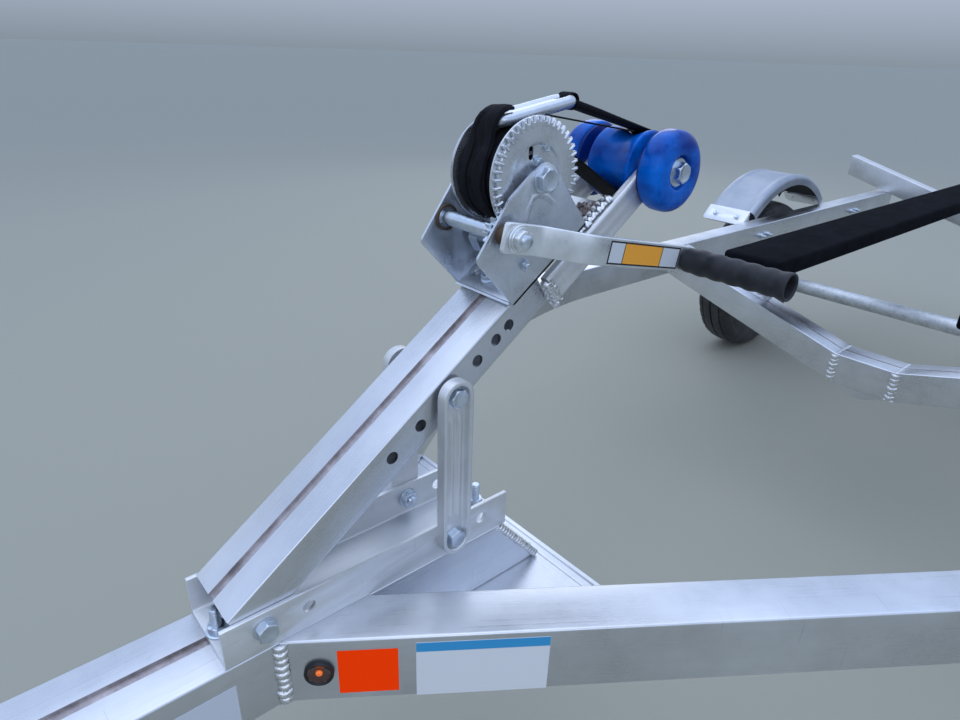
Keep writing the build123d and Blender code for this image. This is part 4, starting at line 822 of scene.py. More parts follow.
def zinc_sheet(name, color, rough, spangle=0.15):
    """Zinc-plated steel: a cloudy colour, rubbed patches and a fine grain."""
    mat, nt, bsdf = material(name, color, rough, 0.84)
    cloud = grain(nt, 28, 5, 0.6)
    fine = grain(nt, 220, 3, 0.6)
    dark = tuple(c * (1 - spangle) for c in color)
    base = tint(ramp(cloud, 0.35, 0.68), dark, tuple(min(1, c * 1.08) for c in color))
    rub = ramp(grain(nt, (55, 8, 55), 3, 0.6, 0.6), 0.66, 0.7)
    base = tint(sums("MULTIPLY", rub, 0.3), base, tuple(c * 0.62 for c in color))
    feed(bsdf, "Base Color", base)
    feed(bsdf, "Roughness", sums("ADD", ramp(cloud, 0.3, 0.7, rough - 0.05, rough + 0.08),
                                 ramp(fine, 0.3, 0.7, -0.04, 0.05)))
    bump(bsdf, cloud, 0.001, 0.2)
    bump(bsdf, fine, 0.00012, 0.5)
    return mat


PLATED = zinc_sheet("zinc_sheet", (0.66, 0.7, 0.76), 0.3)
kite = rounded([(397, 0), (386, 75), (451, 97), (482, 98), (506, 96), (512, 84), (520, 0)],
               [0, 7, 14, 20, 14, 12, 0])
bm = bmesh.new()
for side in (1, -1):
    part = bmesh.new()
    prism(part, [post(a, side * 43, b) for a, b in kite], (0, side * 0.003, 0))
    tools = bmesh.new()
    rod(tools, post(CRANK_S, side * 40, CRANK_N), post(CRANK_S, side * 50, CRANK_N), 0.0083)
    part = cut_out(part, tools)
    take_in(bm, part)
base = bmesh.new()
prism(base, oblong(397, 520, -46, 46, lambda a, b: post(a, b, 0)), post(0, 0, 3) - post(0, 0, 0))
tools = bmesh.new()
rod(tools, post(416, -31, -4), post(416, -31, 8), 0.0052)
rod(tools, post(505, -25, -4), post(505, -25, 8), 0.0052)
base = cut_out(base, tools)
take_in(bm, base)
soften(bm, 0.0007, 2, 50)
# pressed ridge on the near plate, and a bent lip along the base's front edge
ridge = [(455, 62), (463, 71), (474, 77), (483, 74), (489, 64), (494, 52)]
rings = []
for (a, b), (c, d) in zip(ridge, ridge[1:] + [ridge[-1]]):
    along = (post(c, 0, d) - post(a, 0, b)) if (a, b) != (c, d) else along
    across = along.normalized().cross(Vector((0, 1, 0)))
    taper = 0.35 if (a, b) in (ridge[0], ridge[-1]) else 1.0
    lifts = [(k, 0.0012 * cos(k * pi / 2) * taper - 0.0002) for k in (-1, -0.66, -0.33, 0, 0.33, 0.66, 1)]
    rings.append([post(a, 46, b) + across * (0.0042 * k) + Vector((0, lift, 0)) for k, lift in lifts])
skin(bm, rings, caps=(), closed=False)
prism(bm, [post(397, -43, 0.2), post(394.5, -43, 1.2), post(393.2, -43, 4.2), post(395.6, -43, 5.0),
           post(397.5, -43, 3.0)], (0, 0.086, 0))
finished("winch_plates", bm, PLATED, gone="winch_frame", angle=38)

bm = bmesh.new()
for side in (1, -1):
    washer(bm, post(DRUM_S, side * 46.1, DRUM_N), (0, side, 0), 0.0135, 0.0062, 0.0016)
    hexagon(bm, post(DRUM_S, side * 47.7, DRUM_N), (0, side, 0), 0.0215, 0.0075 if side < 0 else 0.0082,
            0.45)
rod(bm, post(DRUM_S, -45, DRUM_N), post(DRUM_S, 45, DRUM_N), 0.0062)
washer(bm, post(CRANK_S, -42.8, CRANK_N), (0, 1, 0), 0.0118, 0.0081, 0.0022)
hexagon(bm, post(429.6, 46.1, 27.6), (0, 1, 0), 0.0105, 0.0042, 0.2)
stud(bm, post(429.6, 50.0, 27.6), (0, 1, 0), 0.003, 0.0035)
for a, y, spin in ((418, -10, 0.1), (418, 14, 0.5), (502, 6, 0.8)):
    washer(bm, post(a, y, 3.1), (PDZ, 0, -PDX), 0.0108, 0.0045, 0.0014)
    hexagon(bm, post(a, y, 4.5), (PDZ, 0, -PDX), 0.0148, 0.0058, spin)
# ratchet pawl on its pin, behind the crank's pinion
rod(bm, post(444, -46, 30), post(444, 42.8, 30), 0.004)
rod(bm, post(444, -30, 30), post(444, -22, 30), 0.0082)
pawl = rounded([(436, 24), (452, 26), (446, 62), (438, 66), (434, 50)], [5, 5, 3, 3, 4])
prism(bm, [post(a, 20, b) for a, b in pawl], (0, 0.006, 0))
prism(bm, [post(a, -36, b) for a, b in rounded([(430, 20), (448, 22), (444, 44), (432, 42)], [4, 4, 5, 5])],
      (0, 0.014, 0))
finished("winch_bolts", bm, ZINC, angle=40)
RUSTY = material("worn_bushing", (0.11, 0.07, 0.045), 0.6, 0.5)[0]
bm = bmesh.new()
washer(bm, post(CRANK_S, -42.0, CRANK_N), (0, 1, 0), 0.0138, 0.0112, 0.003)
washer(bm, post(CRANK_S, 46.1, CRANK_N), (0, 1, 0), 0.0098, 0.0081, 0.01)
finished("bushings", bm, RUSTY)


# Winch drum: a pressed gear of 44 teeth on the near side, a plain flange on the far side, the hub between.
# Each tooth has a pressed rib; the gear's middle is raised, with a slot and a strap bolt. Black webbing is
# wound on it.
def about_drum(r, t, y):
    """A point at radius r, angle t and y millimetres on the drum's axis."""
    return post(DRUM_S + r * cos(t), y, DRUM_N + r * sin(t))


def on_drum(bm, profile, steps=96):
    """Turns (y, radius) points in millimetres about the drum's axis."""
    turned(bm, post(DRUM_S, 0, DRUM_N), (0, 1, 0), mm(profile), steps)


GEAR_MESH = atan2(CRANK_N - DRUM_N, CRANK_S - DRUM_S)
GEAR_STEP = tau / 44
bm = bmesh.new()
outline = []
for k in range(44):
    a = GEAR_MESH + (k + 0.5) * GEAR_STEP
    for da, r in ((-0.05, 53.2), (-0.036, 54.4), (-0.027, 57.0), (-0.016, 58.0), (0.016, 58.0),
                  (0.027, 57.0), (0.036, 54.4), (0.05, 53.2)):
        outline.append((r, a + da))
rings = [[about_drum(r * k, t, y) for r, t in outline]
         for k, y in ((0.985, 34.0), (1.0, 34.6), (1.0, 37.4), (0.985, 38.0))]
for r, y in ((46, 38.0), (34.5, 38.0), (33.3, 37.6), (32.4, 36.6), (31.2, 35.4), (10, 35.2), (7, 35.2),
             (7, 34.4), (7, 33.8), (46, 33.8)):
    rings.append([about_drum(r, t, y) for _, t in outline])
skin(bm, rings + [rings[0]], caps=())
bmesh.ops.remove_doubles(bm, verts=bm.verts, dist=0.00002)
tools = bmesh.new()
slot_pts = [(3.0 * cos(radians(d)) + (3.8 if cos(radians(d)) > 0 else -3.8), 3.0 * sin(radians(d)))
            for d in range(5, 365, 15)]
prism(tools, [post(500.4 + 0.56 * a - 0.83 * b, 30, 108 + 0.83 * a + 0.56 * b) for a, b in slot_pts],
      (0, 0.02, 0))
bm = cut_out(bm, tools)
for k in range(44):
    a = GEAR_MESH + (k + 0.5) * GEAR_STEP
    rings = []
    for i in range(9):
        t = i / 8
        r, w = 47.6 + 9.6 * t, 1.55 * sqrt(max(0.0, 1 - (2 * t - 1) ** 4))
        ring = []
        for j in range(7):
            v = -1 + j / 3
            lift = 1.7 * sqrt(max(0.0, 1 - (2 * t - 1) ** 4)) * cos(v * pi / 2)
            ring.append(post(DRUM_S + r * cos(a) - v * w * sin(a), 37.9 + lift,
                             DRUM_N + r * sin(a) + v * w * cos(a)))
        rings.append(ring)
    skin(bm, rings, caps=(), closed=False)
on_drum(bm, [(34.2, 24), (24, 24), (-32, 24)], 64)
on_drum(bm, [(33.7, 40), (33.6, 56.8), (33.2, 57.7), (32.3, 58.0), (31.5, 57.7), (31.1, 56.8), (31.0, 40)])
on_drum(bm, [(-32.2, 7), (-32.2, 50.5), (-31.0, 52.0), (-31.4, 53.0), (-33.4, 53.0), (-34.6, 51.8),
             (-35.0, 50), (-35, 38), (-34, 36), (-33.8, 7), (-32.2, 7)])
finished("drum_gear", bm, zinc_sheet("zinc_gear", (0.66, 0.69, 0.73), 0.27), body="drum",
         gone="winch_drum", angle=35)
bm = bmesh.new()
rod(bm, post(502, 35.0, 95), post(502, 37.5, 95), 0.0072, 24)
hexagon(bm, post(502, 37.4, 95), (0, 1, 0), 0.009, 0.0034, 0.2)
hexagon(bm, post(480, 35.1, 70), (0, 1, 0), 0.0098, 0.004, 0.5)
hexagon(bm, post(519, 35.1, 100), (0, 1, 0), 0.0075, 0.0026, 0.5)
finished("drum_bolts", bm, ZINC, body="drum", angle=40)

WEBBING, nt, bsdf = material("webbing", (0.008, 0.008, 0.01), 0.9, Sheen_Weight=0.02, Sheen_Roughness=0.4,
                             Specular_IOR_Level=0.15)
weave = grain(nt, (700, 1500, 1), 1, coords="UV")
fuzz = grain(nt, 70, 5, 0.7)
feed(bsdf, "Base Color", tint(ramp(fuzz, 0.35, 0.75), (0.0035, 0.0035, 0.005), (0.013, 0.013, 0.018)))
bump(bsdf, weave, 0.0004, 0.7)
bump(bsdf, fuzz, 0.0015, 0.4)
bm = bmesh.new()
seg = 120
rings = []
wrap_profile = [(-28.0, 25), (-28.0, 43.0), (-27.4, 44.6), (-26.2, 45.4), (-23.0, 45.9), (-12, 45.6),
                (-2, 45.9), (3.0, 45.7), (4.0, 45.0), (5.2, 45.8), (14, 45.4), (19.5, 45.8), (21.3, 45.0),
                (22.0, 43.5), (22.0, 25)]
for y, r in wrap_profile:
    ring = []
    for i in range(seg):
        t = tau * i / seg
        swell = noise.noise(Vector((2.2 * cos(t), 2.2 * sin(t), y * 0.05)))
        rr = r - (0.25 + 0.25 * sin(3 * t + y * 0.07) + 0.35 * swell if r > 40 else 0)
        ring.append(about_drum(rr, t, y + 0.35 * sin(5 * t + r)))
    rings.append(ring)
skin(bm, rings, caps=())
uv = bm.loops.layers.uv.verify()
for f in bm.faces:
    for loop in f.loops:
        c = loop[uv].uv.copy()
        loop[uv].uv = (c.y, c.x)
for k in range(9):
    r = 27 + 2.1 * k
    on_drum(bm, [(-28.25, r - 0.8), (-28.5, r), (-28.25, r + 0.8)], 64)
    on_drum(bm, [(22.25, r - 0.8), (22.5, r), (22.25, r + 0.8)], 64)
finished("wound_strap", bm, WEBBING, body="drum", gone="winch_strap", angle=50)


# Bow roller: a spool between two bells in glossy blue polyurethane, on a half-inch bolt through the arms.
# Each bell has a recess with a washer and a nut, and a neck on its inner side painted darker as shade.
BLUE, nt, bsdf = material("blue_roller", (0.001, 0.075, 0.46), 0.2, Coat_Weight=0.06, Coat_Roughness=0.05,
                          Specular_IOR_Level=0.16, Subsurface_Weight=0.1, Subsurface_Scale=0.008,
                          Subsurface_Radius=(0.05, 0.4, 1.0))
swirl = grain(nt, (24, 10, 24), 4, 0.6)
# The blue is darkened where the surface turns away from the view: painted shade on the bells' flanks.
edge = nt.nodes.new("ShaderNodeLayerWeight")
edge.inputs["Blend"].default_value = 0.35
blue = tint(ramp(swirl, 0.38, 0.66), (0.0002, 0.036, 0.27), (0.0006, 0.165, 0.72))
feed(bsdf, "Base Color", tint(sums("MULTIPLY", edge.outputs["Facing"], 0.45), blue, (0.0005, 0.03, 0.22)))
feed(bsdf, "Roughness", ramp(swirl, 0.3, 0.7, 0.16, 0.26))
bump(bsdf, grain(nt, 45, 3), 0.0006, 0.35)
# The neck's darker blue is painted shade, where the bell shades it.
NECK_SHADE, nt, bsdf = material("blue_neck_painted_shade", (0.0004, 0.02, 0.17), 0.35, Specular_IOR_Level=0.2)
bump(bsdf, grain(nt, 60, 3), 0.0004, 0.3)
RX, RZ = 0.666573, 0.944588

bm = bmesh.new()
spool = [(-30, 7), (-30, 38.0), (-29.4, 40.2), (-28.0, 41.2), (-25.5, 41.0), (-21, 39.6), (-16, 37.6),
         (-10, 35.4), (-4, 34.3)]
spool += [(0, 34.1)] + [(-y, r) for y, r in spool[::-1]]
turned(bm, (RX, 0, RZ), (0, 1, 0), mm(spool + [spool[0]]), 96)
for side in (1, -1):
    neck = [(42.6, 8), (42.6, 40.0), (43.2, 41.4), (45.8, 42.0), (46.4, 41.0), (46.4, 8)]
    bell = [(46.0, 8), (46.0, 42.4), (46.4, 43.6), (47.6, 44.5), (50.0, 45.1), (54.0, 45.4), (59.5, 45.4),
            (63.6, 45.1), (66.8, 44.1), (69.3, 42.4), (71.2, 40.0), (72.5, 36.8), (73.3, 32.6),
            (73.7, 27.5), (73.7, 23.5), (73.5, 20.6), (72.8, 19.2), (71.0, 18.5), (68.0, 18.1),
            (67.2, 17.4), (67.0, 16.0), (67.0, 8)]
    turned(bm, (RX, 0, RZ), (0, side, 0), mm(neck + [neck[0]]), 96, 1)
    turned(bm, (RX, 0, RZ), (0, side, 0), mm(bell + [bell[0]]), 96)
finished("bow_roller_blue", bm, [BLUE, NECK_SHADE], body="roller", gone="bow_roller",
         angle=50)

bm = bmesh.new()
rod(bm, (RX, -0.078, RZ), (RX, 0.076, RZ), 0.006)
for side in (1, -1):
    washer(bm, (RX, side * 0.0671, RZ), (0, side, 0), 0.016, 0.0062, 0.0026)
    hexagon(bm, (RX, side * 0.0695, RZ), (0, side, 0), 0.0205, 0.0092, 0.25)
    washer(bm, (RX, side * 0.0437, RZ), (0, side, 0), 0.013, 0.0062, 0.0014)
    washer(bm, (RX, side * 0.0303, RZ), (0, side, 0), 0.013, 0.0062, 0.0011)
stud(bm, (RX, -0.08, RZ), (0, -1, 0), 0.0056, 0.0034)
finished("roller_pin", bm, ZINC, gone="roller_bolt", angle=40)


# Strap run and hook: doubled black webbing from the drum under the roller, round its rear and back to the
# hook, drawn narrower and thicker near the hook. The hook is a long closed loop of 11 mm rod with a sprung
# gate.
def strap(bm, path, widths, thick, mids=None):
    """A strip along path points in the x-z plane, wide in y."""
    rings = []
    for (p, out), width, t, y0 in zip(headings(path), widths, thick, mids or [0.0] * len(path)):
        rings.append([])
        for k in range(16):
            c, q = cos(tau * k / 16), sin(tau * k / 16)
            y = y0 + copysign(abs(c) ** 0.35, c) * width / 2
            n = copysign(abs(q) ** 0.7, q) * t / 2
            rings[-1].append((p.x + out.x * n, y, p.y + out.y * n))
    skin(bm, rings)


# the drum's axis, and the radii of the strap's middle on the drum and round the roller
DX0, DZ0, WRAP_R, RUN_R = 0.85679, 0.950201, 0.0477, 0.0409
gap = hypot(DX0 - RX, DZ0 - RZ)
tilt = atan2(DZ0 - RZ, DX0 - RX)
cross = asin((WRAP_R + RUN_R) / gap) + tilt
low = Vector((-sin(cross), cos(cross)))
hook_at = Vector((DX0 - 0.024, DZ0 + 0.0586))
hr = radians(9.6)
eye = hook_at + Vector((-cos(hr), sin(hr))) * 0.0505
reach = hypot(eye.x - RX, eye.y - RZ)
leave = atan2(eye.y - RZ, eye.x - RX) + acos(RUN_R / reach)
a0 = atan2(-low.y, -low.x)
off, on = Vector((DX0, DZ0)) + low * WRAP_R, Vector((RX, RZ)) - low * RUN_R
span = (leave - a0) % tau - tau
path = [off.lerp(on, k / 12) for k in range(13)]
path += [Vector((RX, RZ)) + Vector((cos(a0 + span * k / 40), sin(a0 + span * k / 40))) * RUN_R
         for k in range(1, 41)]
path += [path[52].lerp(eye - Vector((0.0045, 0.002)), k / 16) for k in range(1, 17)]
widths = [0.04] * 53 + [0.04 - 0.019 * (k / 16) ** 0.8 for k in range(1, 17)]
thick = [0.0025] * 53 + [0.0025 + 0.0072 * (k / 16) ** 0.9 - 0.0012 * max(0, k - 11) / 5
                         for k in range(1, 17)]
bm = bmesh.new()
strap(bm, path, widths, thick)
# sewn loop through the hook's eye, and a cord along the strap's edge
loop_path = [(eye.x + 0.008 * cos(a) - 0.001, eye.y + 0.0078 * sin(a))
             for a in [pi * (0.5 + k / 10) for k in range(-6, 17)]]
strap(bm, loop_path, [0.018] * len(loop_path), [0.0022] * len(loop_path))
rod(bm, (BX - 0.383, 0.0245, TOP + 0.4582), (BX - 0.524, 0.0245, TOP + 0.4365), 0.0009, 10)
# the strap's tail folded over the drum's front and the hook's end
rise = [(41, 0.0497), (47, 0.0535), (53, 0.0578), (58, 0.0612), (63, 0.0636), (69, 0.065), (75, 0.065),
        (79, 0.064)]
front = [(radians(-60 + 95 * k / 20), 0.0481) for k in range(21)] + [(radians(d), r) for d, r in rise]
tail = [(DX0 + r * cos(a), DZ0 + r * sin(a)) for a, r in front]
narrow = [0.0 if k < 18 else min(1.0, (k - 18) / 8) for k in range(29)]
strap(bm, tail, [0.041 - 0.011 * n for n in narrow], [0.003 + 0.0012 * n for n in narrow],
      [-0.0072 + 0.005 * n for n in narrow])
fold = [(DX0 + (r + 0.0016) * cos(a), DZ0 + (r + 0.0016) * sin(a)) for a, r in front]
strap(bm, fold, [0.013 + 0.003 * sin(0.55 * k) for k in range(29)], [0.0028] * 29,
      [0.0052 + 0.0015 * sin(0.4 * k) - 0.001 * n for k, n in enumerate(narrow)])
strap(bm, fold[:26], [0.008 + 0.003 * sin(0.7 * k + 1) for k in range(26)], [0.0024] * 26,
      [-0.016 + 0.002 * sin(0.5 * k) + 0.004 * n for k, n in enumerate(narrow[:26])])
finished("strap", bm, WEBBING, gone="strap_run", angle=60)
bm = bmesh.new()
hx, hz = Vector((cos(hr), 0, -sin(hr))), Vector((sin(hr), 0, cos(hr)))
centre = Vector((hook_at.x, 0, hook_at.y)) + hz * 0.0007
rings = []
half, bow = 0.04, 0.0105
for i in range(72):
    t = i % 36 / 18
    a = pi * (t - 0.5)
    c, way = Vector((half - 2 * half * t, bow)), Vector((-1, 0))
    if t >= 1:
        c, way = Vector((-half + bow * cos(a), bow * sin(a))), Vector((-sin(a), cos(a)))
    back = 1 if i < 36 else -1
    ring = []
    for k in range(20):
        b = tau * k / 20
        p = (c + Vector((way.y, -way.x)) * 0.0061 * cos(b)) * back
        ring.append(centre + hx * p.x + Vector((0, p.y, 0)) + hz * 0.0062 * sin(b))
    rings.append(ring)
skin(bm, rings + [rings[0]], caps=())
bmesh.ops.remove_doubles(bm, verts=bm.verts, dist=0.00001)
rivet = centre + hx * 0.03 + hz * 0.0005
rod(bm, rivet - Vector((0, 0.0155, 0)), rivet - Vector((0, 0.0065, 0)), 0.0058, 24)
gate = [(-0.034, -0.0065), (0.042, -0.0065), (0.044, -0.004), (0.044, 0.004), (0.042, 0.0065),
        (-0.034, 0.0065)]
prism(bm, [centre + hx * a + Vector((0, b, 0)) + hz * 0.002 for a, b in gate], hz * 0.0022)
finished("hook", bm, zinc_sheet("zinc_hook", (0.56, 0.61, 0.68), 0.26, 0.14),
         gone="strap_hook", angle=50)


# Crank: shaft with its pinion, a flat bar with a dog-leg and rounded ends, a blank amber and white sticker,
# and a black ribbed foam grip on its rod.
SX, SZ, GX, GZ = 0.908192, 0.903392, BX - 0.555, TOP + 0.302
bm = bmesh.new()
rod(bm, (SX, -0.05, SZ), (SX, 0.0765, SZ), 0.0079)
rod(bm, (SX, -0.0505, SZ), (SX, -0.05, SZ), 0.007, 32, 0, 0.0079)
tooth = []
for k in range(11):
    a = GEAR_MESH + pi + k * tau / 11
    for da, r in ((-0.2, 10.9), (-0.135, 12.0), (-0.085, 15.2), (-0.05, 15.8), (0.05, 15.8), (0.085, 15.2),
                  (0.135, 12.0), (0.2, 10.9)):
        tooth.append(post(CRANK_S + r * cos(a + da), 34.0, CRANK_N + r * sin(a + da)))
prism(bm, tooth, (0, 0.008, 0))
finished("crank_shaft_steel", bm, ZINC, body="crank", gone="crank_shaft", angle=40)

along = Vector((GX - SX, 0, GZ - SZ))
arm_len = along.length
along.normalize()
tall = along.cross(Vector((0, 1, 0)))
if tall.z < 0:
    tall = -tall


def arm(d, y, h):
    """A point beside the crank bar: along it from the shaft, y, and across it."""
    return Vector((SX, 0, SZ)) + along * d + tall * h + Vector((0, y, 0))


CRANKED = zinc_sheet("zinc_bar", (0.82, 0.85, 0.87), 0.32, 0.12)
nt = CRANKED.node_tree
bsdf = nt.nodes["Principled BSDF"]
bsdf.inputs["Metallic"].default_value = 0.8
# The bar's bent middle is painted lighter and less metallic, in streaks: a painted highlight where it faces
# the sky.
highlight_streaks = ramp(grain(nt, (900, 30, 60), 3, 0.6), 0.25, 0.75, 0.55, 1.0)
painted_highlight = sums("MULTIPLY", ramp(heat_and_light_value(nt), 0.3, 0.9), highlight_streaks)
feed(bsdf, "Base Color", tint(painted_highlight, bsdf.inputs["Base Color"].links[0].from_socket, (0.97, 0.97, 0.96)))
feed(bsdf, "Metallic", ramp(painted_highlight, 0.0, 1.0, 0.84, 0.2))
profile = [(-0.0158, 0.065), (-0.015, 0.065), (-0.012, 0.065), (0.026, 0.065), (0.031, 0.0655),
           (0.035, 0.0675), (0.04, 0.0705), (0.073, 0.0875), (0.077, 0.0898), (0.081, 0.0914),
           (0.086, 0.092), (arm_len - 0.005, 0.092), (arm_len + 0.008, 0.092), (arm_len + 0.0125, 0.092),
           (arm_len + 0.0155, 0.092)]
heights = [0.0125, 0.014, 0.0148] + [0.0149] * 9 + [0.0149, 0.0125, 0.006]
rings = []
for (p, out), h in zip(headings(profile), heights):
    rings.append([arm(p.x + out.x * b, p.y + out.y * b, a)
                  for a, b in ring_box(2 * h, 0.0058, 0.0016, 0, 0.001, 3)])
bm = bmesh.new()
skin(bm, rings)
bmesh.ops.subdivide_edges(bm, edges=[e for e in bm.edges if e.calc_length() > 0.018], cuts=5)
# marks the bar's bent middle for its painted highlight
paint_heat_and_light(bm, [(arm(0.046, 0.0735, 0), arm(0.072, 0.0865, 0))], 0.019)
washer(bm, (SX, 0.0681, SZ), (0, 1, 0), 0.0135, 0.006, 0.0022)
washer(bm, (SX, 0.0703, SZ), (0, 1, 0), 0.0118, 0.006, 0.0018)
hexagon(bm, (SX, 0.0721, SZ), (0, 1, 0), 0.0185, 0.0062, 0.4, nut=True)
rod(bm, (GX, 0.091, GZ), (GX, 0.1995, GZ), 0.0058)
finished("crank_bar", bm, CRANKED, body="crank", gone="winch_crank", angle=40)
bm = bmesh.new()
stud(bm, (SX, 0.076, SZ), (0, 1, 0), 0.0062, 0.0065)
finished("crank_stud", bm, ZINC, body="crank", angle=40)

STICKER_BLACK = material("sticker_black", (0.012, 0.012, 0.014), 0.45)[0]
STICKER_WHITE = material("sticker_white", (0.62, 0.66, 0.7), 0.42)[0]
STICKER_AMBER = material("sticker_amber", (0.92, 0.4, 0.05), 0.5, Specular_IOR_Level=0.2)[0]
bm = bmesh.new()
for d0, d1, h0, h1, lift, m in ((0.1045, 0.2335, -0.0124, 0.0118, 0.0002, 0),
                                (0.1063, 0.1285, -0.0106, 0.0101, 0.00035, 1),
                                (0.199, 0.2317, -0.0106, 0.0101, 0.00035, 1),
                                (0.13, 0.1975, -0.0106, 0.0101, 0.00035, 2)):
    for f in prism(bm, oblong(d0, d1, h0, h1, lambda a, b: arm(a, 0.0949, b)), (0, lift, 0)):
        f.material_index = m
finished("crank_sticker", bm, [STICKER_BLACK, STICKER_WHITE, STICKER_AMBER], body="crank")

GRIP, nt, bsdf = material("grip_rubber", (0.018, 0.019, 0.023), 0.55, Sheen_Weight=0.04,
                          Specular_IOR_Level=0.35)
dust = grain(nt, 55, 5, 0.65)
feed(bsdf, "Base Color", tint(ramp(dust, 0.35, 0.75), (0.009, 0.01, 0.013), (0.032, 0.034, 0.042)))
feed(bsdf, "Roughness", ramp(dust, 0.3, 0.7, 0.42, 0.62))
bump(bsdf, grain(nt, 900, 2), 0.00012, 0.6)
profile = [(95.6, 6.3), (95.6, 11.6), (96.6, 13.0), (99.5, 13.9), (103, 14.2)]
for k in range(5):
    y = 107 + k * 20.5
    profile += [(y, 13.8), (y + 3.5, 14.1), (y + 7.5, 14.8), (y + 11.5, 15.0), (y + 15.5, 14.6),
                (y + 19, 14.0)]
profile += [(211, 14.3), (214, 15.0), (218.5, 15.4), (221.0, 15.4), (221.9, 14.8), (221.9, 13.8),
            (221.2, 12.8), (219, 12.3), (201, 11.8), (200, 11.0), (200, 6.3), (95.6, 6.3)]
bm = bmesh.new()
turned(bm, (GX, 0, GZ), (0, 1, 0), mm(profile), 64)
finished("grip", bm, GRIP, body="crank", gone="crank_grip", angle=60)


# Axle, springs and their fittings: hot-dip galvanised steel with a mottled bloom. Round axle tube with
# spindles, three-leaf springs, hangers with bolts through the eyes, U-bolts over the springs with plates
# under the axle.
GALV, nt, bsdf = material("galvanised", (0.6, 0.64, 0.67), 0.42, 0.75)
bloom = grain(nt, 26, 5, 0.65)
flakes = grain(nt, 95, kind="cells")
spots = grain(nt, 150, 4, 0.7)
mottle = tint(ramp(bloom, 0.35, 0.68), (0.46, 0.5, 0.53), (0.76, 0.79, 0.82))
mottle = tint(sums("MULTIPLY", ramp(flakes, 0.2, 0.7), 0.35), mottle, (0.84, 0.87, 0.9))
mottle = tint(sums("MULTIPLY", ramp(spots, 0.62, 0.72), 0.4), mottle, (0.25, 0.27, 0.27))
feed(bsdf, "Base Color", mottle)
feed(bsdf, "Roughness", ramp(bloom, 0.3, 0.7, 0.34, 0.56))
bump(bsdf, spots, 0.0004, 0.5)
AX, AZ, SPRING_Y = -1.184, 0.287, 0.621

bm = bmesh.new()
steps = [(-748, 13.2), (-746.5, 14), (-690, 14), (-664, 19), (-662, 24.2), (-661.2, 25)]
steps += [(-y, r) for y, r in steps[::-1]]
turned(bm, (AX, 0, AZ), (0, 1, 0), mm(steps), caps="both")
for side in (1, -1):
    pad = bmesh.new()
    prism(pad, oblong(AX - 0.055, AX + 0.055, side * 0.598, side * 0.644, AZ + 0.022), (0, 0, 0.0078))
    soften(pad, 0.0015, 2)
    take_in(bm, pad)
    for fx in (1, -1):
        bead(bm, [(AX + fx * 0.0215, side * 0.599, AZ + 0.0145),
                  (AX + fx * 0.0215, side * 0.643, AZ + 0.0145)], (fx, 0, 0.4), 0.008, 0.004, 0.005,
             seed=41)
finished("axle_tube", bm, GALV, gone="axle", angle=40)


def leaf_z(x):
    """The main leaf's height at x from the axle, on an arc of half length 330 mm and rise 93 mm."""
    r = (0.33 ** 2 + 0.093 ** 2) / (2 * 0.093)
    return 0.341 + r - sqrt(r * r - x * x)


for side, name in ((1, "left"), (-1, "right")):
    bm = bmesh.new()
    for k, (x0, x1) in enumerate(((-0.33, 0.33), (-0.235, 0.235), (-0.14, 0.14))):
        part = bmesh.new()
        rings = []
        for i in range(41):
            x = x0 + (x1 - x0) * i / 40
            z = leaf_z(x) - 0.0082 * k
            tip = min(x - x0, x1 - x)
            w = 0.0218 - (0.006 * max(0.0, 1 - tip / 0.02) if k else 0.0)
            t = 0.0076 * (1 if k == 0 else min(1.0, 0.45 + tip / 0.03))
            rings.append([(AX + x, side * SPRING_Y + a, z - t / 2 + b)
                          for a, b in ring_box(2 * w, t, 0.0018, 0, 0.001, 3)])
        skin(part, rings)
        take_in(bm, part)
    ex, ez = AX + 0.338, 0.4295
    eye = [(-0.0218, 0.0084), (-0.0218, 0.0162), (-0.021, 0.0168), (0.021, 0.0168), (0.0218, 0.0162),
           (0.0218, 0.0084)]
    turned(bm, (ex, side * SPRING_Y, ez), (0, 1, 0), eye + [eye[0]], 40)
    for cx in (-0.19, 0.19):
        x0, x1, z0, z1 = AX + cx - 0.012, AX + cx + 0.012, leaf_z(cx) - 0.0165, leaf_z(cx) + 0.0022
        for y0 in (side * SPRING_Y - 0.0242, side * SPRING_Y + 0.0218):
            prism(bm, oblong(x0, x1, z0, z1, lambda a, b: (a, y0, b)), (0, 0.0024, 0))
        prism(bm, oblong(x0, x1, side * SPRING_Y - 0.0242, side * SPRING_Y + 0.0242, z0 - 0.002),
              (0, 0, 0.0022))
    finished("leaf_spring_" + name, bm, GALV, gone="spring_" + name, angle=40)

bm = bmesh.new()
for side in (1, -1):
    for hx0, hz0 in ((AX + 0.338, 0.4295), (AX - 0.312, 0.444)):
        part = bmesh.new()
        for py in (-0.0255, 0.0255):
            shape = [(-0.042, UNDER - 0.005), (0.042, UNDER - 0.005), (0.018, hz0 - 0.02),
                     (-0.018, hz0 - 0.02)]
            shape = rounded(shape, [0, 0, 0.01, 0.01])
            prism(part, [(hx0 + a, side * SPRING_Y + py - 0.0025, b) for a, b in shape], (0, 0.005, 0))
        prism(part, oblong(hx0 - 0.042, hx0 + 0.042, side * SPRING_Y - 0.028, side * SPRING_Y + 0.028,
                           UNDER - 0.005), (0, 0, 0.0048))
        soften(part, 0.0009, 2, 40)
        take_in(bm, part)
        rod(bm, (hx0, side * SPRING_Y - 0.03, hz0), (hx0, side * SPRING_Y + 0.03, hz0), 0.0078)
        hexagon(bm, (hx0, side * SPRING_Y + 0.0281, hz0), (0, 1, 0), 0.02, 0.0048, 0.2)
        hexagon(bm, (hx0, side * SPRING_Y - 0.0281, hz0), (0, -1, 0), 0.02, 0.0048, 0.5, nut=True)
finished("hangers", bm, GALV, gone="spring_hangers", angle=40)

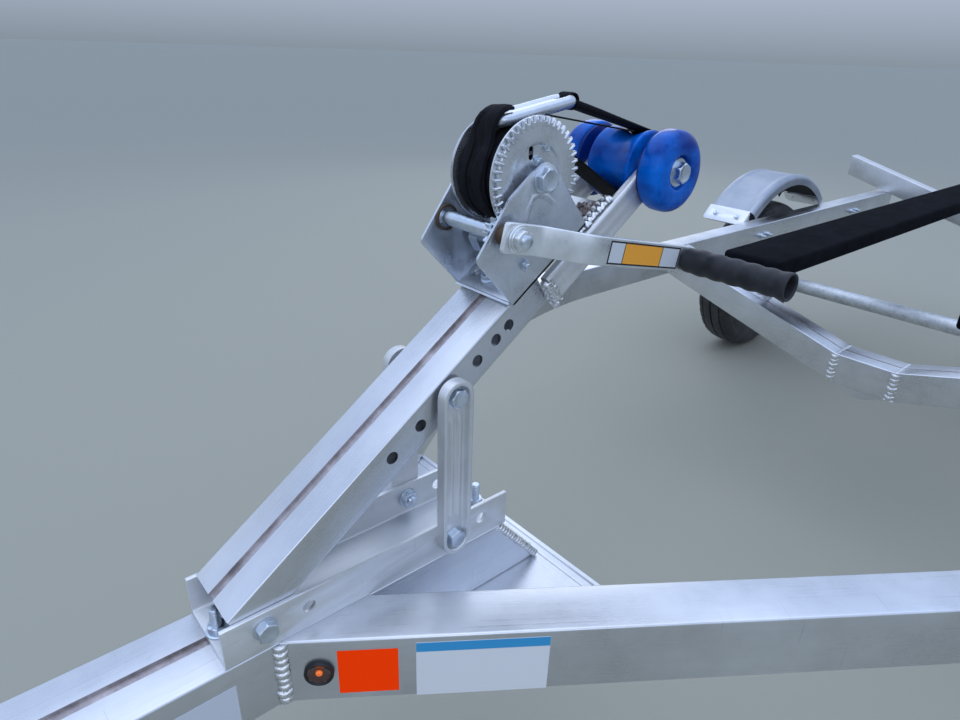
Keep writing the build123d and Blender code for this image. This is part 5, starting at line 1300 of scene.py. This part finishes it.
bm = bmesh.new()
for side in (1, -1):
    part = bmesh.new()
    cy, pz = side * SPRING_Y, AZ - 0.025
    prism(part, oblong(AX - 0.05, AX + 0.05, cy - 0.045, cy + 0.045, pz - 0.008), (0, 0, 0.0078))
    soften(part, 0.002, 3)
    take_in(bm, part)
    for fx in (-0.034, 0.034):
        rings = []
        zt = 0.3475
        leg = [(0.028, pz - 0.018), (0.028, zt)]
        leg += [(0.02 + 0.008 * cos(a), zt + 0.008 * sin(a)) for a in (0.4, 0.8, 1.2, pi / 2)]
        u_path = [(-a, b) for a, b in leg] + leg[::-1]
        for p, out in headings(u_path):
            ring = [(0.005 * cos(tau * q / 16), 0.005 * sin(tau * q / 16)) for q in range(16)]
            rings.append([(AX + fx + c, cy + p.x + out.x * q, p.y + out.y * q) for c, q in ring])
        skin(bm, rings)
        for fy in (-0.028, 0.028):
            hexagon(bm, (AX + fx, cy + fy, pz - 0.0081), (0, 0, -1), 0.0165, 0.0075, 0.3, nut=True)
finished("u_bolts", bm, GALV, gone="axle_clamps", angle=40)


# Wheels: 287 mm radius trailer tyres with four ribs, stepped grooves and shoulder sipes, on galvanised
# steel rims with round vents; hubs with studs, lug nuts and a pressed dust cap.
TYRE, nt, bsdf = material("tyre", (0.028, 0.029, 0.031), 0.72, Sheen_Weight=0.1)
dust = grain(nt, 22, 5, 0.65)
feed(bsdf, "Base Color", tint(ramp(dust, 0.4, 0.75), (0.012, 0.013, 0.014), (0.05, 0.053, 0.052)))
bump(bsdf, grain(nt, 400, 3), 0.0002, 0.5)
RIM, nt, bsdf = material("rim_steel", (0.6, 0.63, 0.66), 0.38, 0.9)
feed(bsdf, "Base Color", tint(ramp(grain(nt, 30, 5, 0.65), 0.35, 0.7), (0.46, 0.5, 0.52),
                              (0.7, 0.73, 0.75)))
CAP, nt, bsdf = material("hub_cap", (0.7, 0.72, 0.75), 0.2, 1.0)
bump(bsdf, grain(nt, 90, 4), 0.0004, 0.4)
WHEEL_Y, BOLT_CIRCLE, VENT_CIRCLE = 0.737, 0.05715, 0.079


def tread(i, y, r):
    """How deep a groove or sipe is at step i of the tyre's turn, y and r millimetres from its middle."""
    if r < 270 or abs(y) > 57:
        return 0.0
    if 36 < abs(y) < 57:
        return -3.2 if i % 6 == 0 else 0.0
    if abs(y) < 33 and (i + (3 if y > 0 else 0)) % 6 == 0 and 8 < abs(y) < 29:
        return -2.2
    return 0.0


for side, name in ((1, "left"), (-1, "right")):
    bm = bmesh.new()
    crown = [(55.5, 271.5), (54.5, 275.0), (52, 277.6), (47, 280.0), (41, 282.0), (36.5, 283.2),
             (36, 277.0), (33, 277.0), (32.5, 284.0), (29, 284.8), (20, 285.8), (14, 286.3), (8.5, 286.6),
             (3.0, 286.8), (2.6, 279.8), (0, 279.8)]
    half = [(144, 38), (144, 46.5), (165, 49.2), (172, 53.4), (178, 58), (186, 61.5), (190, 63.2),
            (192, 62.9), (205, 66.2), (225, 68.0), (240, 67.2), (252, 64.6), (254, 64.9), (257, 64.0),
            (264, 60.0), (270, 56.6)]
    outside = [(y, r) for r, y in half] + crown
    full = [(-y, r) for y, r in outside] + outside[-2::-1]
    full += [(40, 170), (48, 250), (0, 262), (-48, 250), (-40, 170), (-38, 144)]
    middle = Vector((AX, side * WHEEL_Y, AZ))
    turned(bm, middle, (0, side, 0), mm(full), 192, first=(1, 0, 0))
    for v in bm.verts:
        off = v.co - middle
        r = round(1000 * hypot(off.x, off.z), 2)
        i = round(192 * atan2(off.z, off.x) / tau) % 192
        depth = tread(i, round(1000 * side * off.y, 2), r)
        v.co += Vector((off.x, 0, off.z)) * (depth / r)
    finished("tyre_rubber_" + name, bm, TYRE, body="wheel_" + name, gone="tyre_" + name,
             angle=38)
    bm = bmesh.new()
    rim_edge = [(34, 122), (40, 140), (49, 141), (51, 144), (51.5, 162), (53, 164), (53.4, 162), (53, 144),
                (50.5, 138.5), (47, 136.8), (40, 136), (32, 118.5)]
    rim_profile = [(-4, 35), (-4, 92), (-1, 97), (11, 102), (14, 106), (14, 122), (12, 122)]
    rim_profile += [(-y, r) for y, r in rim_edge] + rim_edge[::-1]
    rim_profile += [(18, 122), (18, 104), (15, 99), (3, 94), (0, 90), (0, 35)]
    turned(bm, middle, (0, side, 0), mm(rim_profile + [rim_profile[0]]), 96)
    tools = bmesh.new()
    for k in range(5):
        a = tau * (k + 0.5) / 5
        vent = middle + Vector((cos(a), 0, sin(a))) * VENT_CIRCLE
        rod(tools, vent - Vector((0, side * 0.012, 0)), vent + Vector((0, side * 0.013, 0)), 0.0125)
    bm = cut_out(bm, tools)
    finished("rim_disc_" + name, bm, RIM, body="wheel_" + name, gone="rim_" + name,
             angle=35)
    bm = bmesh.new()
    flange = [(-64, 14.5), (-64, 36.5), (-62.5, 38), (-24, 38), (-20, 41), (-15, 73), (-13.5, 74),
              (-5.5, 74), (-4.4, 73), (-4.4, 34), (16, 34), (16, 14.5)]
    turned(bm, middle, (0, side, 0), mm(flange + [flange[0]]), 96)
    cap = [(16.1, 33.4), (18, 34.0), (19.5, 33.0), (21, 29.5), (36, 28.6), (41, 26.4), (43.4, 22.0),
           (44, 16), (43.6, 12.5), (42.4, 12.0), (42.2, 0.5)]
    turned(bm, middle, (0, side, 0), mm(cap), 96, 1)
    for k in range(5):
        a = tau * k / 5
        at = middle + Vector((cos(a), 0, sin(a))) * BOLT_CIRCLE
        rod(bm, at, at + Vector((0, side * 0.024, 0)), 0.0058, 16, 1)
        rod(bm, at, at + Vector((0, side * 0.0035, 0)), 0.0078, 24, 1, 0.01)
        hexagon(bm, at + Vector((0, side * 0.0035, 0)), (0, side, 0), 0.019, 0.015, 0.2 * k, mat=1,
                nut=True)
    finished("hub_cast_" + name, bm, [GALV, CAP], body="wheel_" + name,
             gone="hub_" + name, angle=40)


# Fenders: satin aluminium sheet in an arch, rolled edges, soft ridges along it, a flat lip at each end
# bolted to a shelf that is welded out from the rail.
UNDERCOAT, nt, bsdf = material("fender_undercoat", (0.02, 0.021, 0.023), 0.8)
bump(bsdf, grain(nt, 260, 4), 0.0008, 0.6)
FENDER, nt, bsdf = material("fender_sheet", (0.38, 0.42, 0.48), 0.46, 1.0)
cloud = grain(nt, 9, 5, 0.6)
fine = grain(nt, 160, 3)
feed(bsdf, "Base Color", tint(ramp(cloud, 0.35, 0.7), (0.31, 0.35, 0.41), (0.44, 0.48, 0.54)))
feed(bsdf, "Roughness", ramp(cloud, 0.3, 0.7, 0.4, 0.54))
bump(bsdf, fine, 0.0001, 0.4)
FENDER_A, FENDER_Y = radians(47), 0.725


def fender_end(fore, r):
    """The arch's end at radius r: a point on it, the way its lip runs and the way out."""
    out = Vector((fore * cos(FENDER_A), 0, sin(FENDER_A)))
    return Vector((AX, 0, AZ)) + out * r, Vector((fore * sin(FENDER_A), 0, -cos(FENDER_A))), out


for side, name in ((1, "left"), (-1, "right")):
    bm = bmesh.new()
    edge = [(85, 360.2), (85, 380), (83.8, 386.5), (80, 392), (74.5, 395.8), (68, 397.2), (61, 396.0),
            (56, 394.4), (49, 393.8), (35, 394.2)]
    low_edge = [(83, 360.2), (82.8, 379.5), (81.6, 385.2), (78.4, 390.2), (73.5, 393.8)]
    top = [(-y, r) for y, r in edge] + [(0, 394.4)] + edge[::-1]
    under = low_edge + [(0, 391.8)] + [(-y, r) for y, r in low_edge[::-1]]
    rings = []
    for k in range(61):
        a = FENDER_A + (pi - 2 * FENDER_A) * k / 60
        ring = mm(top + under)
        rings.append([(AX + r * cos(a), side * (FENDER_Y + y), AZ + r * sin(a)) for y, r in ring])
    skin(bm, rings)
    bm.faces.ensure_lookup_table()
    for i, f in enumerate(bm.faces):
        if len(f.verts) == 4 and i % len(top + under) >= len(top):
            f.material_index = 1
    for fore in (1, -1):
        base_pt, tangent, outn = fender_end(fore, 0.3965)
        tools = bmesh.new()
        lip = bmesh.new()
        shape = rounded(oblong(-0.003, 0.06, 0.653, 0.81), [0, 0.006, 0.014, 0])
        prism(lip, [base_pt + tangent * a + outn * 0.0013 + Vector((0, side * b, 0)) for a, b in shape],
              -outn * 0.0028)
        for by in (0.689, 0.772):
            at = base_pt + tangent * 0.03 + Vector((0, side * by, 0))
            rod(tools, at - outn * 0.01, at + outn * 0.01, 0.0043)
        lip = cut_out(lip, tools)
        soften(lip, 0.0006, 2, 40)
        for f in lip.faces:
            f.material_index = 2
        take_in(bm, lip)
    finished("fender_arch_" + name, bm, [FENDER, UNDERCOAT, MILL],
             gone="fender_" + name, angle=40)

bm = bmesh.new()
bolts = bmesh.new()
for side in (1, -1):
    for fore in (1, -1):
        base_pt, tangent, outn = fender_end(fore, 0.395)
        prism(bm, [base_pt + tangent * a + outn * -0.0003 + Vector((0, side * b, 0))
                   for a, b in rounded(oblong(0.005, 0.059, 0.6512, 0.798), [0, 0, 0.008, 0.008])],
              -outn * 0.0045)
        tip = base_pt + tangent * 0.06 - Vector((fore * 0.002, 0, 0.002))
        near_x = base_pt.x + fore * 0.003
        web = [(near_x, base_pt.z - 0.006), (tip.x, tip.z), (tip.x, UNDER + 0.012), (near_x, UNDER + 0.012)]
        prism(bm, [(a, side * 0.6512, b) for a, b in web], (0, side * 0.0055, 0))
        for by in (0.689, 0.772):
            at = base_pt + tangent * 0.03 + Vector((0, side * by, 0))
            washer(bolts, at + outn * 0.0031, outn, 0.0092, 0.0042, 0.0012)
            hexagon(bolts, at + outn * 0.0043, outn, 0.013, 0.004, 0.3)
            rod(bolts, at - outn * 0.0078, at + outn * 0.004, 0.0039, 16)
    for bx in (BX - 2.142, BX - 2.868):
        for dx in (-0.022, 0.022):
            hexagon(bolts, (bx + dx, side * 0.5922, MID_Z), (0, -side, 0), 0.017, 0.009, 0.3, nut=True)
            stud(bolts, (bx + dx, side * 0.5835, MID_Z), (0, -side, 0), 0.005, 0.013)
soften(bm, 0.0009, 2, 40)
along_uv(bm, (0, 1, 0))
finished("fender_shelves", bm, MILL, gone="fender_brackets", angle=40)
finished("fender_bolts", bolts, ZINC, angle=40)


# Bunks: planks wrapped in black ribbed carpet, on aluminium uprights bolted to the cross-members.
CARPET, nt, bsdf = material("carpet", (0.008, 0.009, 0.012), 0.95, Specular_IOR_Level=0.05)
loops = grain(nt, 900, 2)
wear = grain(nt, 18, 5, 0.7)
feed(bsdf, "Base Color", tint(ramp(wear, 0.35, 0.75), (0.003, 0.004, 0.006), (0.01, 0.011, 0.015)))
bump(bsdf, loops, 0.0012, 0.9)
bump(bsdf, grain(nt, (3, 260, 260), 2), 0.0006, 0.5)
for side, name in ((1, "left"), (-1, "right")):
    bm = bmesh.new()
    x0, x1 = BX - 1.42, REAR_X
    rings = []
    xs = [x0, x0 - 0.001, x0 - 0.004]
    xs += [x0 - 0.01 - (x0 - x1 - 0.02) * k / 70 for k in range(71)]
    xs += [x1 + 0.004, x1 + 0.001, x1]
    for x in xs:
        end = min(x0 - x, x - x1)
        inset = 0.006 * max(0.0, 1 - end / 0.008) ** 2
        ring = []
        for a, b in ring_box(0.146 - 2 * inset, 0.044 - 2 * inset, 0.008 - 0.3 * inset, 0, 0.004, 4):
            puff = 0.0006 * noise.noise(Vector((x * 9, a * 30, b * 30 + side)))
            ring.append((x, side * 0.26 + a * (1 + puff * 8),
                         TOP + 0.08 - 0.022 + b + (puff if abs(b) > 0.02 else 0)))
        rings.append(ring)
    skin(bm, rings)
    finished("bunk_carpet_" + name, bm, CARPET, gone="bunk_" + name, angle=60)

bm = bmesh.new()
bolts = bmesh.new()
UPRIGHT_Y = 0.305
for side in (1, -1):
    for ux, uz, slope in ((vx - vd / 2 - 0.012, vtop + 0.233 * vee_slope, vee_slope),
                          (rx - rd / 2, rmid + 0.233 * rear_slope, rear_slope)):
        pad_z = TOP + 0.036
        foot = [(-0.005, 0), (0.057, 0), (0.057, 0.0065), (0.005, 0.0065)]
        shape = [(a, uz + a * slope + t) for a, t in foot]
        head = [(0.005, -0.006), (0.01, -0.006), (0.01, -0.0002), (-0.1, -0.0002), (-0.1, -0.006),
                (-0.005, -0.006)]
        shape += [(a, pad_z + t) for a, t in head]
        prism(bm, [(ux - 0.025, side * (UPRIGHT_Y + a), b) for a, b in shape], (0.05, 0, 0))
        for a, dx in ((0.022, 0.01), (0.042, -0.01)):
            hexagon(bolts, (ux + dx, side * (UPRIGHT_Y + a), uz + a * slope + 0.0064),
                    (0, -side * slope, 1), 0.0165, 0.0065, 0.3)
        for a in (-0.085, -0.02):
            hexagon(bolts, (ux, side * (UPRIGHT_Y + a), pad_z - 0.0061), (0, 0, -1), 0.013, 0.0055, 0.5)
soften(bm, 0.0009, 2, 40)
along_uv(bm, (0, 0, 1))
finished("bunk_uprights", bm, MILL, gone="bunk_brackets", angle=40)
finished("bunk_bolts", bolts, ZINC, angle=40)


# Front end: pressed ball coupler with its latch, jack plate bolted through, swivelling jack with leg,
# caster and crank.
BLACK, nt, bsdf = material("black_paint", (0.022, 0.023, 0.025), 0.38, Coat_Weight=0.3)
bump(bsdf, grain(nt, 120, 4), 0.0003, 0.4)
NX, BALL = 2.061, 2.021
bm = bmesh.new()
top_z, low_z = TOP + 0.0038, TOP - 0.052
plan = [(TONGUE_END - 0.12, 0.049), (TONGUE_END + 0.02, 0.049), (BALL - 0.01, 0.036), (BALL + 0.02, 0.033),
        (NX, 0.02)]
radii = [0, 0.03, 0.03, 0.012, 0.012]
plan = rounded(plan + [(x, -y) for x, y in plan[::-1]], radii + radii[::-1], 4)
prism(bm, [(x, y, low_z) for x, y in plan], (0, 0, top_z - low_z))
bmesh.ops.recalc_face_normals(bm, faces=bm.faces)
high = [v for v in bm.verts if abs(v.co.z - top_z) < 1e-6 and v.co.x > TONGUE_END - 0.11]
rim = [e for e in bm.edges if all(v in high for v in e.verts)]
bmesh.ops.bevel(bm, geom=rim, offset=0.009, segments=4, profile=0.5, affect="EDGES", clamp_overlap=True)
tools = bmesh.new()
place = Matrix.Translation((TONGUE_END - 0.055, 0, low_z)) @ Matrix.Diagonal((0.14, 2 * HALF_W, 0.104, 1))
bmesh.ops.create_cube(tools, size=1, matrix=place)
bm = cut_out(bm, tools)
tools = bmesh.new()
hollow = [(TONGUE_END + 0.01, HALF_W), (TONGUE_END + 0.02, HALF_W), (BALL - 0.03, 0.034)]
hollow += [(x, -y) for x, y in hollow[::-1]]
prism(tools, [(x, y, low_z - 0.001) for x, y in hollow], (0, 0, 0.053))
bm = cut_out(bm, tools)
tools = bmesh.new()
socket = [(low_z - 0.002, 0.0258), (low_z + 0.026, 0.0258), (low_z + 0.036, 0.0225), (low_z + 0.042, 0.015)]
turned(tools, (BALL, 0, 0), (0, 0, 1), socket, caps="both")
bm = cut_out(bm, tools)
for sgn in (1, -1):
    for bx2 in (TONGUE_END - 0.085, TONGUE_END - 0.025):
        hexagon(bm, (bx2, sgn * 0.0488, TOP - 0.026), (0, sgn, 0), 0.0185, 0.007, 0.4)
finished("coupler_shell", bm, GALV, gone="coupler", angle=35)
bm = bmesh.new()
lever = [(-0.06, 0.0043), (-0.01, 0.0043), (-0.016, 0.03), (-0.11, 0.046), (-0.112, 0.038), (-0.05, 0.024)]
lever = rounded(lever, [0.003, 0.006, 0.01, 0.003, 0.003, 0.01])
prism(bm, [(BALL + a, -0.013, TOP + b) for a, b in lever], (0, 0.026, 0))
soften(bm, 0.0016, 3, 40)
rod(bm, (BALL - 0.03, -0.0145, TOP + 0.018), (BALL - 0.03, 0.0145, TOP + 0.018), 0.0045, 24)
finished("latch", bm, BLACK, gone="coupler_latch", angle=40)

JX, JY, PZ, CASTER_Z = BX + 0.52, 0.1245, MID_Z, 0.07
bm = bmesh.new()
shape = rounded(oblong(-0.045, 0.045, -0.052, 0.052), [0.008] * 4)
for py in (0.0475, -0.0475):
    prism(bm, [(JX + a, py - 0.0029, PZ + b) for a, b in shape], (0, 0.0058, 0))
soften(bm, 0.001, 2, 40)
for dx in (-0.033, 0.033):
    for dz in (-0.046, 0.046):
        rod(bm, (JX + dx, -0.052, PZ + dz), (JX + dx, 0.052, PZ + dz), 0.0048, 20)
        hexagon(bm, (JX + dx, 0.0504, PZ + dz), (0, 1, 0), 0.015, 0.006, 0.2)
        hexagon(bm, (JX + dx, -0.0504, PZ + dz), (0, -1, 0), 0.015, 0.007, 0.5, nut=True)
turned(bm, (JX, 0, PZ), (0, 1, 0), [(0.0504, 0.0225), (0.054, 0.02), (0.0885, 0.02), (0.0898, 0.019)],
       caps="both")
finished("jack_plate", bm, GALV, gone="jack_mount", angle=40)

bm = bmesh.new()
tube_low, tube_top = PZ - 0.14, PZ + 0.26
tube = [(tube_low + 0.28, 0.0227), (tube_low, 0.0227), (tube_low, 0.025), (tube_low + 0.001, 0.0255),
        (tube_top - 0.014, 0.0255), (tube_top - 0.013, 0.0252), (tube_top - 0.012, 0.0255),
        (tube_top - 0.002, 0.0255), (tube_top, 0.0235), (tube_top, 0.004)]
turned(bm, (JX, JY, 0), (0, 0, 1), tube, 64, caps="last")
swivel = [(0.0905, 0.012), (0.0905, 0.0268), (0.0915, 0.028), (0.106, 0.028), (0.1072, 0.0268),
          (0.1072, 0.02)]
turned(bm, (JX, 0, PZ), (0, 1, 0), swivel, 64, caps="both")
finished("jack_body", bm, zinc_sheet("zinc_tube", (0.62, 0.66, 0.71), 0.32), body="jack",
         gone="jack_tube", angle=40)
bm = bmesh.new()
screw = [(0.0003, 0.0095), (0.001, 0.01), (0.0193, 0.01), (0.0203, 0.009)]
turned(bm, (JX, JY, tube_top), (0, 0, 1), screw, 32, caps="both")
shape = rounded(oblong(-0.009, 0.009, -0.01, 0.13), [0.007] * 4)
prism(bm, [(JX + a, JY + b, tube_top + 0.0146) for a, b in shape], (0, 0, 0.0048))
soften(bm, 0.0007, 2, 50)
finished("jack_handle", bm, ZINC, body="jack", gone="jack_crank", angle=40)
bm = bmesh.new()
knob = [(0, 0.007), (0.001, 0.0085), (0.01, 0.0092), (0.03, 0.0108), (0.05, 0.011), (0.058, 0.01),
        (0.0605, 0.006)]
turned(bm, (JX, JY + 0.122, tube_top + 0.0195), (0, 0, 1), knob, 40, caps="both")
finished("jack_knob", bm, BLACK, body="jack", angle=50)
bm = bmesh.new()
leg = [(0.154, 0.021), (0.155, 0.022), (PZ + 0.06, 0.022), (PZ + 0.06, 0.0195), (0.166, 0.0195)]
turned(bm, (JX, JY, 0), (0, 0, 1), leg, 64, caps="both")
finished("jack_ram_tube", bm, zinc_sheet("zinc_ram", (0.68, 0.71, 0.75), 0.24), body="jack_ram",
         gone="jack_leg", angle=40)
bm = bmesh.new()
shape = rounded(oblong(-0.03, 0.03, -0.033, 0.033), [0.006] * 4)
prism(bm, [(JX + a, JY + b, 0.1467) for a, b in shape], (0, 0, 0.0069))
for sgn in (1, -1):
    cheek = rounded([(-0.022, 0.1465), (0.022, 0.1465), (0.016, 0.052), (-0.016, 0.052)],
                    [0, 0, 0.012, 0.012])
    prism(bm, [(JX + a, JY + sgn * 0.028, b) for a, b in cheek], (0, sgn * 0.005, 0))
soften(bm, 0.0009, 2, 45)
rod(bm, (JX, JY - 0.037, CASTER_Z), (JX, JY + 0.037, CASTER_Z), 0.0058, 24)
for sgn in (1, -1):
    hexagon(bm, (JX, JY + sgn * 0.0331, CASTER_Z), (0, sgn, 0), 0.017, 0.0038, 0.2)
finished("caster_fork", bm, zinc_sheet("zinc_fork", (0.62, 0.66, 0.71), 0.32), body="caster",
         gone="jack_caster", angle=40)
bm = bmesh.new()
HUBGREY = material("caster_hub", (0.1, 0.1, 0.11), 0.5)[0]
profile = [(-22, 6.4), (-22, 14), (-19, 15), (-17, 40), (-19, 44), (-20.5, 58), (-19, 64), (-14, 68.6),
           (-6, 69.9)]
profile += [(-y, r) for y, r in profile[::-1]]
turned(bm, (JX, JY, CASTER_Z), (0, 1, 0), mm(profile + [profile[0]]), 96)
for f in bm.faces:
    c = f.calc_center_median()
    f.material_index = 1 if hypot(c.x - JX, c.z - CASTER_Z) < 0.042 else 0
finished("caster_tyre", bm, [TYRE, HUBGREY], body="caster_wheel", gone="jack_wheel",
         angle=40)


# Lamps and labels: amber side markers deep in black grommets, red tail lamps on panels at the rear ends,
# and blank stickers on the rail's outer face and the tongue's left side.
GROMMET, nt, bsdf = material("grommet", (0.01, 0.01, 0.011), 0.45)
bump(bsdf, grain(nt, 300, 3), 0.0003, 0.5)
SMOKED, nt, bsdf = material("smoked_lens", (0.055, 0.01, 0.004), 0.1, Coat_Weight=1.0)
bump(bsdf, grain(nt, 380, kind="cells"), 0.0008, 0.6)
AMBER, nt, bsdf = material("amber_lens", (0.9, 0.2, 0.01), 0.12, Coat_Weight=1.0, Emission_Strength=0.5)
bsdf.inputs["Emission Color"].default_value = (0.9, 0.12, 0.0, 1)
RED, nt, bsdf = material("red_lens", (0.55, 0.008, 0.006), 0.15, Coat_Weight=1.0)
bump(bsdf, grain(nt, 240, kind="cells"), 0.0008, 0.4)
rail_front = BX - 0.0495
mark_x, mark_y = rail_front - 0.0355 * cos(RAIL_A), HALF_W + 0.0355 * sin(RAIL_A)
bm = bmesh.new()
for side in (1, -1):
    at = Vector((mark_x, side * mark_y, MID_Z))
    way = Vector((sin(RAIL_A), side * cos(RAIL_A), 0))
    flat = Vector((cos(RAIL_A), -side * sin(RAIL_A), 0))
    steps = [(0.0002, 0.0145, 0), (0.0034, 0.0145, 0), (0.0047, 0.0139, 0), (0.0049, 0.013, 0),
             (0.0044, 0.0122, 0), (0.003, 0.0116, 0), (0.003, 0.0114, 1), (0.0022, 0.0098, 1),
             (0.0014, 0.0076, 1), (0.001, 0.005, 1), (0.0012, 0.0036, 1), (0.0012, 0.0035, 2),
             (0.003, 0.0031, 2), (0.0036, 0.002, 2), (0.0038, 0.0006, 2)]
    for m in (0, 1, 2):
        turned(bm, at, way, [(h, r) for h, r, kind in steps if kind == m], 40, m,
               caps="last" if m == 2 else "", first=flat)
bmesh.ops.remove_doubles(bm, verts=bm.verts, dist=0.00015)
finished("markers", bm, [GROMMET, SMOKED, AMBER], gone="marker_lamps", angle=50)

bm = bmesh.new()
for side in (1, -1):
    ly = 0.69
    lz = rmid + (ly - VEE_FLAT) * rear_slope - rh / 2
    lx = rx - rd
    prism(bm, [(lx, side * (ly + a), lz + b + rear_slope * a)
               for a, b in rounded(oblong(-0.08, 0.08, -0.038, 0.038), [0.008] * 4)], (-0.0058, 0, 0))
    for inset, depth0, depth1, m in ((0.0, 0.0058, 0.0105, 0), (0.0025, 0.0105, 0.02, 1),
                                     (0.006, 0.02, 0.0217, 1)):
        rings = []
        for r, depth in ((0.027 - inset, depth0), (0.0258 - inset, depth1)):
            turns = [(k * 0.048, pi * (i / 16 - 0.5 * k)) for k in (1, -1) for i in range(17)]
            rings.append([(lx - depth, side * (ly + c + r * cos(a)), lz + rear_slope * c + r * sin(a))
                          for c, a in turns])
        skin(bm, rings, caps=(-1,), mat=m)
finished("rear_lamps", bm, [BLACK, RED], gone="tail_lamps", angle=40)

# The orange label glows faintly: painted light that makes it look brighter.
ORANGE, nt, bsdf = material("label_orange_painted_glow", (0.95, 0.04, 0.0), 0.65, Specular_IOR_Level=0.05,
                            Emission_Strength=0.22)
bsdf.inputs["Emission Color"].default_value = (1.0, 0.06, 0.0, 1)
PAPER = material("label_white", (0.8, 0.82, 0.84), 0.45)[0]
BAND = material("label_blue", (0.04, 0.34, 0.66), 0.5, Specular_IOR_Level=0.3)[0]
VINYL = material("label_plate", (0.6, 0.64, 0.7), 0.4)[0]
bm = bmesh.new()


def on_rail(x, z):
    """A point just off the left rail's outer face, x from the bracket's front and z from the rail's top."""
    off = 0.00005
    y = HALF_W + (-0.0495 - x) * tan(RAIL_A)
    return Vector((BX + x + sin(RAIL_A) * off, y + cos(RAIL_A) * off, TOP + z))


for x0, x1, z0, z1, lift, m in ((-0.0933, -0.141, -0.0708, -0.0137, 0.0003, 0),
                                (-0.1552, -0.2632, -0.0795, -0.0078, 0.0003, 1),
                                (-0.1553, -0.2631, -0.0197, -0.008, 0.00045, 2)):
    for f in prism(bm, oblong(x0, x1, z0, z1, on_rail), Vector((sin(RAIL_A), cos(RAIL_A), 0)) * lift):
        f.material_index = m
for f in prism(bm, oblong(BX - 0.006, BX + 0.114, TOP - 0.069, TOP - 0.023, lambda a, b: (a, HALF_W, b)),
               (0, 0.0004, 0)):
    f.material_index = 3
finished("labels", bm, [ORANGE, PAPER, BAND, VINYL], angle=40)


# Camera, floor and light: the camera is solved from the photograph, at the tongue's left and above it. A
# plain pale floor, a large soft light overhead and a smaller one from the left front, and a pale sky for
# reflections.
ca = bpy.data.cameras.new("photo_camera")
ca.sensor_width, ca.lens = 36.0, 25.01
cam = bpy.data.objects.new("photo_camera", ca)
bpy.context.scene.collection.objects.link(cam)
yaw, pitch, roll = radians(228.88), radians(24.81), radians(1.864)
look = Vector((cos(pitch) * cos(yaw), cos(pitch) * sin(yaw), -sin(pitch)))
right = look.cross(Vector((0, 0, 1))).normalized()
up = right.cross(look)
right, up = cos(roll) * right + sin(roll) * up, -sin(roll) * right + cos(roll) * up
turn = Matrix((right, up, -look)).transposed().to_4x4()
cam.matrix_world = Matrix.Translation((BX + 0.11356, 0.50758, TOP + 0.51206)) @ turn
bpy.context.scene.camera = cam

bm = bmesh.new()
bmesh.ops.create_grid(bm, x_segments=1, y_segments=1, size=400)
me = bpy.data.meshes.new("floor")
bm.to_mesh(me)
bm.free()
FLOOR = material("floor", (0.35, 0.345, 0.285), 0.9)[0]
me.materials.append(FLOOR)
floor = bpy.data.objects.new("floor", me)
floor.location.z = -0.002
bpy.context.scene.collection.objects.link(floor)

for name, at, aim, size, power in (("sky_panel", (0.2, -0.6, 5.2), (0.2, 0, 0.5), 6.5, 80),
                                   ("left_front", (3.4, 4.2, 2.8), (0.6, 0, 0.6), 2.6, 14),
                                   ("rear_right", (-3.5, -4.0, 3.0), (-0.8, 0, 0.5), 2.5, 22)):
    la = bpy.data.lights.new(name, "AREA")
    la.shape, la.size, la.energy = "SQUARE", size, power
    lo = bpy.data.objects.new(name, la)
    lo.location = at
    lo.rotation_euler = (Vector(aim) - Vector(at)).to_track_quat("-Z", "Y").to_euler()
    bpy.context.scene.collection.objects.link(lo)

world = bpy.data.worlds.new("studio")
bpy.context.scene.world = world
world.use_nodes = True
wt = world.node_tree
tc = wt.nodes.new("ShaderNodeTexCoord")
sep = wt.nodes.new("ShaderNodeSeparateXYZ")
wt.links.new(tc.outputs["Generated"], sep.inputs[0])
cr = wt.nodes.new("ShaderNodeValToRGB")
cr.color_ramp.elements[0].position, cr.color_ramp.elements[0].color = 0.0, (0.31, 0.37, 0.44, 1)
cr.color_ramp.elements[1].position, cr.color_ramp.elements[1].color = 0.75, (0.74, 0.96, 1.42, 1)
mid = cr.color_ramp.elements.new(0.22)
mid.color = (0.86, 1.00, 1.27, 1)
wt.links.new(sep.outputs["Z"], cr.inputs[0])
wt.links.new(cr.outputs[0], wt.nodes["Background"].inputs["Color"])
wt.nodes["Background"].inputs["Strength"].default_value = 0.8
bpy.context.scene.view_settings.view_transform = "Standard"
